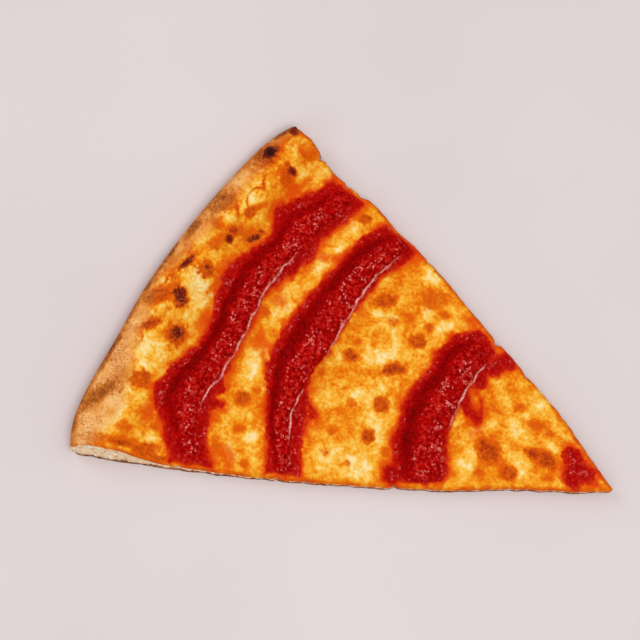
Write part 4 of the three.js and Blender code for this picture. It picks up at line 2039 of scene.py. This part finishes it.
@dataclass(frozen=True)
class DoughBase:
    """The dough: a thin base and a puffed rim, cut open on both sides.

    Attributes:
        kitchen: What it is made with.
        cell: Width of its cells.
        layers: Cells between its underside and its top.
        pit: Width of the larger holes in the crumb.
        pit_depth: Depth of those holes.
        foot: How far the scorched base stands out at the foot of the cuts.
        foot_height: Height up to which it is darkened there, as scorched crust and painted contact shadow.
        underside: Height of the hollows in its underside.
    """

    kitchen: Kitchen
    cell: float = 1.0
    layers: int = 14
    pit: float = 2.8
    pit_depth: float = 0.9
    foot: float = 0.5
    foot_height: float = 1.2
    underside: float = 0.35

    def build(self) -> bpy.types.Object:
        """Makes the dough and dresses it.

        Returns:
            The piece.
        """
        plan = self.kitchen.plan
        blank = Slab(plan, 0, plan.length, self.cell, layers=self.layers).blank("dough")
        places, level = blank.places, blank.level
        top = self.kitchen.skin.top(places)
        hollow = self.underside * rising(places.noise(Seed.UNDERSIDE, 8), 0, 1)
        z = level * top + (1 - level) ** 4 * hollow * rising(places.from_cut, 0, 3)
        x, y = plan.wall_point(places.along, places.side, z)
        on_cut, below_top = places.from_cut < TOUCHING, level < 1 - TOUCHING
        open_face = on_cut & (level > TOUCHING) & below_top
        moved = self._foot(places, level) - np.where(open_face, self._holes(places, z), 0)
        moved = np.where(on_cut, moved, 0) * np.sign(places.side)
        bearing = places.side * plan.half_angle
        blank.shape(self.kitchen.placement, x + moved * np.sin(bearing), y + moved * np.cos(bearing), z)
        self.kitchen.bake.paint(blank, SAUCES, self.kitchen.skin.folds(places))
        crumb = np.where(on_cut & below_top, 1.0, 0.0)
        base = np.where(level < TOUCHING, 1.0, 0.7 * falling(z, 0.2, 1.2))
        # Darkens the foot of the cuts: scorched crust and painted contact shadow.
        scorch = np.where(on_cut, falling(z, 0.4 * self.foot_height, self.foot_height), 0)
        blank.paint(crumb=crumb, base=base, scorch=scorch)
        return self.kitchen.serve(blank, "dough", "baked_dough", DoughFinish(self.kitchen.top).build())

    def _foot(self, places: Places, level: Array) -> Array:
        """How far the foot of a cut stands out, away from the tip and from the rim.

        Args:
            places: Where on the slice.
            level: Height of each place, 0 at the underside and 1 at the top.

        Returns:
            The distance at each place.
        """
        away = rising(places.reach, 5, 16) * rising(places.from_edge, 2, 14)
        uneven = 0.7 + 0.5 * Noise(Seed.FOOT).smooth(places.reach, 60 * places.side, 7)
        return self.foot * uneven * (1 - level) ** 6 * away

    def _holes(self, places: Places, z: Array) -> Array:
        """How far the crumb's holes go in.

        Args:
            places: Where on the slice, on the cuts.
            z: Height of each place.

        Returns:
            The depth at each place.
        """
        hand = 300 * places.side
        wide = Noise(Seed.HOLES).grains(places.reach + hand, 1.5 * z, self.pit)
        small = Noise(Seed.SMALL_HOLES).grains(places.reach + hand, 1.5 * z, self.pit / 2)
        room = rising(z, 0, 1) * rising(self.kitchen.plan.dough_top(places.along, places.side) - z, 0, 1.2)
        return self.pit_depth * (wide + 0.4 * small) * room


@dataclass(frozen=True)
class CheeseLayer:
    """The sheet of melted cheese.

    Attributes:
        kitchen: What it is made with.
        cell: Width of its cells.
        layers: Cells between its underside and its top.
        inset: How far its cuts stand in from the cuts of the dough.
        thickness: Its thickness.
        sunk: How deep its underside sits in the dough, so that no gap shows.
        thinning: Distance over which it thins towards the bare rim.
        border: From the outer edge of the rim to the edge of the cheese.
        rounding: Distance over which its top curves down to the cuts.
        melts: Unevenness of its top, each with its seed, height, width of its bumps and number of layers.
    """

    kitchen: Kitchen
    cell: float = 0.72
    layers: int = 4
    inset: float = 0.4
    thickness: float = 2.1
    sunk: float = 0.3
    thinning: float = 9.0
    border: float = 2.0
    rounding: float = 1.8
    melts: tuple[tuple[Seed, float, float, int], ...] = (
        (Seed.MELT, 0.42, 13.0, 2),
        (Seed.FINE_MELT, 0.15, 4.2, 2),
        (Seed.FINEST_MELT, 0.05, 1.6, 1),
    )

    def build(self) -> bpy.types.Object:
        """Makes the cheese and dresses it.

        Returns:
            The piece.
        """
        plan = self.kitchen.plan
        slab = Slab(plan, self.inset, plan.length - self.border, self.cell, self.inset, self.layers)
        blank = slab.blank("cheese")
        places, level = blank.places, blank.level
        bottom = self.kitchen.skin.top(places) - self.sunk
        z = bottom + level * (self.top(places) - bottom)
        blank.shape(self.kitchen.placement, places.x, places.y, z)
        self.kitchen.bake.paint(blank, SAUCES, self.kitchen.skin.folds(places))
        return self.kitchen.serve(blank, "cheese", "melted_cheese", CheeseFinish(self.kitchen.top).build())

    def top(self, places: Places) -> Array:
        """Height of the cheese's top.

        Args:
            places: Where on the slice.

        Returns:
            The height at each place.
        """
        edge = self.kitchen.bake.border_width(places.side) + 0.8 * places.noise(Seed.CHEESE_EDGE, 9)
        full = rising(places.from_edge - edge, -1.5, self.thinning)
        melt = sum(height * places.noise(seed, size, layers) for seed, height, size, layers in self.melts)
        curve = np.clip(1 - (places.from_cut - self.inset) / self.rounding, 0, 1)
        rounded = 0.7 * self.thickness * (1 - np.sqrt(1 - 0.98 * curve**2))
        above = full * (self.thickness + melt + self.kitchen.bake.blisters(places) - rounded)
        return self.kitchen.skin.top(places) + above - 0.2 * (1 - full)


@dataclass(frozen=True)
class Sauce:
    """One piece of sauce lying on the cheese.

    Attributes:
        kitchen: What it is made with.
        cheese: The cheese that it lies on.
        shape: Its form.
        cell: Width of its cells.
        inset: How far it stands in from the cuts of the dough.
        sunk: How deep it sits in the cheese, so that no gap shows.
        spare: How far below the cheese its top goes where it ends.
    """

    kitchen: Kitchen
    cheese: CheeseLayer
    shape: SauceShape
    cell: float = 0.45
    inset: float = 0.8
    sunk: float = 1.0
    spare: float = 0.5

    def build(self, material: bpy.types.Material) -> bpy.types.Object:
        """Makes the sauce and dresses it.

        Args:
            material: The finish that all of the sauce shares.

        Returns:
            The piece.
        """
        slab = Slab(self.kitchen.plan, *self.shape.reaches, self.cell, self.inset)
        blank = slab.blank(self.shape.name, lambda places: self.shape.form(places).height + self.spare)
        places, level = blank.places, blank.level
        form = self.shape.form(places)
        ground = self.cheese.top(places)
        z = ground + np.where(level > 0.5, np.clip(form.height, -self.spare, None), -self.sunk)
        blank.shape(self.kitchen.placement, places.x, places.y, z)
        blank.paint(grain=form.grain, depth=form.depth, wet=form.wet, shore=form.shore)
        return self.kitchen.serve(blank, self.shape.name, "tomato_sauce", material)


# ------------------------------------------------------------------------------------------------ studio


@dataclass(frozen=True)
class Lamp:
    """A square light that faces the slice.

    Attributes:
        name: Its name.
        bearing: Where it stands, counted from the view's right towards its top, in degrees.
        elevation: Angle above the floor, in degrees.
        size: Its width.
        share: Share that it gives of the light on the floor.
        distance: From the slice.
    """

    name: str
    bearing: float
    elevation: float
    size: float
    share: float
    distance: float = 1500.0

    def power(self) -> float:
        """Its power in watts."""
        fall = (math.pi * self.distance * MILLIMETRE) ** 2
        return self.share * fall / math.sin(math.radians(self.elevation))


LAMPS: tuple[Lamp, ...] = (
    Lamp("key", -50, 66, 800, 0.33),
    Lamp("fill from the rim", 140, 32, 900, 0.16),
    Lamp("fill from the right", 20, 40, 1000, 0.09),
    Lamp("fill from below", -125, 42, 900, 0.08),
)


@dataclass(frozen=True)
class Studio:
    """The pale floor, the soft light and the camera that looks almost straight down.

    Attributes:
        placement: Puts the plan into the frame.
        turn: Angle of the slice's middle line to the view's level, in degrees.
        tilt: How far the camera leans back from straight down, in degrees.
        distance: From the camera to what it looks at.
        field: Width of the view at that distance.
        aim: Plan point that the view is centred on.
        aim_height: Height of that point.
        ambient: Strength of the light from all round.
        floor_size: Width of the floor.
        floor_gap: How far it lies below the slice, so that the two don't meet.
    """

    placement: Placement
    turn: float = 26.6
    tilt: float = 6.3
    distance: float = 900.0
    field: float = 288.0
    aim: tuple[float, float] = (-150.6, 10.1)
    aim_height: float = 5.0
    ambient: float = 0.43
    floor_size: float = 6000.0
    floor_gap: float = 0.2

    def build(self) -> None:
        """Sets up the camera, the floor and the light."""
        self._camera()
        self._floor()
        self._light()
        view = bpy.context.scene.view_settings
        view.view_transform = "Standard"
        view.look = "None"

    def _axes(self) -> tuple[Vector, Vector]:
        """Directions on the floor of the view's right and of its top."""
        turn = math.radians(self.turn)
        return Vector((math.cos(turn), math.sin(turn), 0)), Vector((-math.sin(turn), math.cos(turn), 0))

    def _aim(self) -> Vector:
        """The point that the camera looks at, in metres."""
        x, y = np.array([self.aim[0]]), np.array([self.aim[1]])
        return Vector(self.placement.metres(x, y, np.array([self.aim_height]))[0])

    def _camera(self) -> None:
        """Makes the camera."""
        data = bpy.data.cameras.new("camera")
        data.sensor_width = 36.0
        data.lens = data.sensor_width * self.distance / self.field
        camera = bpy.data.objects.new("camera", data)
        right, up = self._axes()
        tilt = math.radians(self.tilt)
        back = -up * math.sin(tilt) + Vector((0, 0, 1)) * math.cos(tilt)
        above = back.cross(right)
        turned = Matrix((right, above, back)).transposed().to_4x4()
        camera.matrix_world = Matrix.Translation(self._aim() + back * self.distance * MILLIMETRE) @ turned
        bpy.context.scene.collection.objects.link(camera)
        bpy.context.scene.camera = camera

    def _floor(self) -> None:
        """Makes the floor."""
        sheet = bmesh.new()
        bmesh.ops.create_grid(sheet, x_segments=2, y_segments=2, size=self.floor_size * MILLIMETRE / 2)
        bmesh.ops.translate(sheet, vec=(0, 0, -self.floor_gap * MILLIMETRE), verts=sheet.verts)
        mesh = bpy.data.meshes.new("floor")
        sheet.to_mesh(mesh)
        sheet.free()
        floor = bpy.data.objects.new("floor", mesh)
        mesh.materials.append(TableFinish().build())
        bpy.context.scene.collection.objects.link(floor)

    def _light(self) -> None:
        """Makes the lamps and the light from all round."""
        for lamp in LAMPS:
            bearing, elevation = math.radians(lamp.bearing + self.turn), math.radians(lamp.elevation)
            level = Vector((math.cos(bearing), math.sin(bearing), 0))
            towards = level * math.cos(elevation) + Vector((0, 0, 1)) * math.sin(elevation)
            data = bpy.data.lights.new(lamp.name, "AREA")
            data.size = lamp.size * MILLIMETRE
            data.energy = lamp.power()
            light = bpy.data.objects.new(lamp.name, data)
            place = Matrix.Translation(self._aim() + towards * lamp.distance * MILLIMETRE)
            light.matrix_world = place @ towards.to_track_quat("Z", "Y").to_matrix().to_4x4()
            bpy.context.scene.collection.objects.link(light)
        world = bpy.data.worlds.new("room")
        world.use_nodes = True
        background = world.node_tree.nodes["Background"]
        background.inputs["Color"].default_value = (1.0, 0.98, 0.97, 1.0)
        background.inputs["Strength"].default_value = self.ambient
        bpy.context.scene.world = world


def main() -> None:
    """Builds the slice, from the dough up, and its studio."""
    logging.basicConfig(level=logging.INFO, format="%(name)s: %(message)s")
    plan = PiePlan()
    placement = Placement.in_frame(plan)
    Studio(placement).build()
    top = BakedTop().build(Mottle().build(), Toasting().build())
    kitchen = Kitchen(plan, CrustSkin(plan), placement, BakeMap(plan), top)
    DoughBase(kitchen).build()
    cheese = CheeseLayer(kitchen)
    cheese.build()
    red = SauceFinish().build()
    for shape in SAUCES:
        Sauce(kitchen, cheese, shape).build(red)


if __name__ == "__main__":
    main()
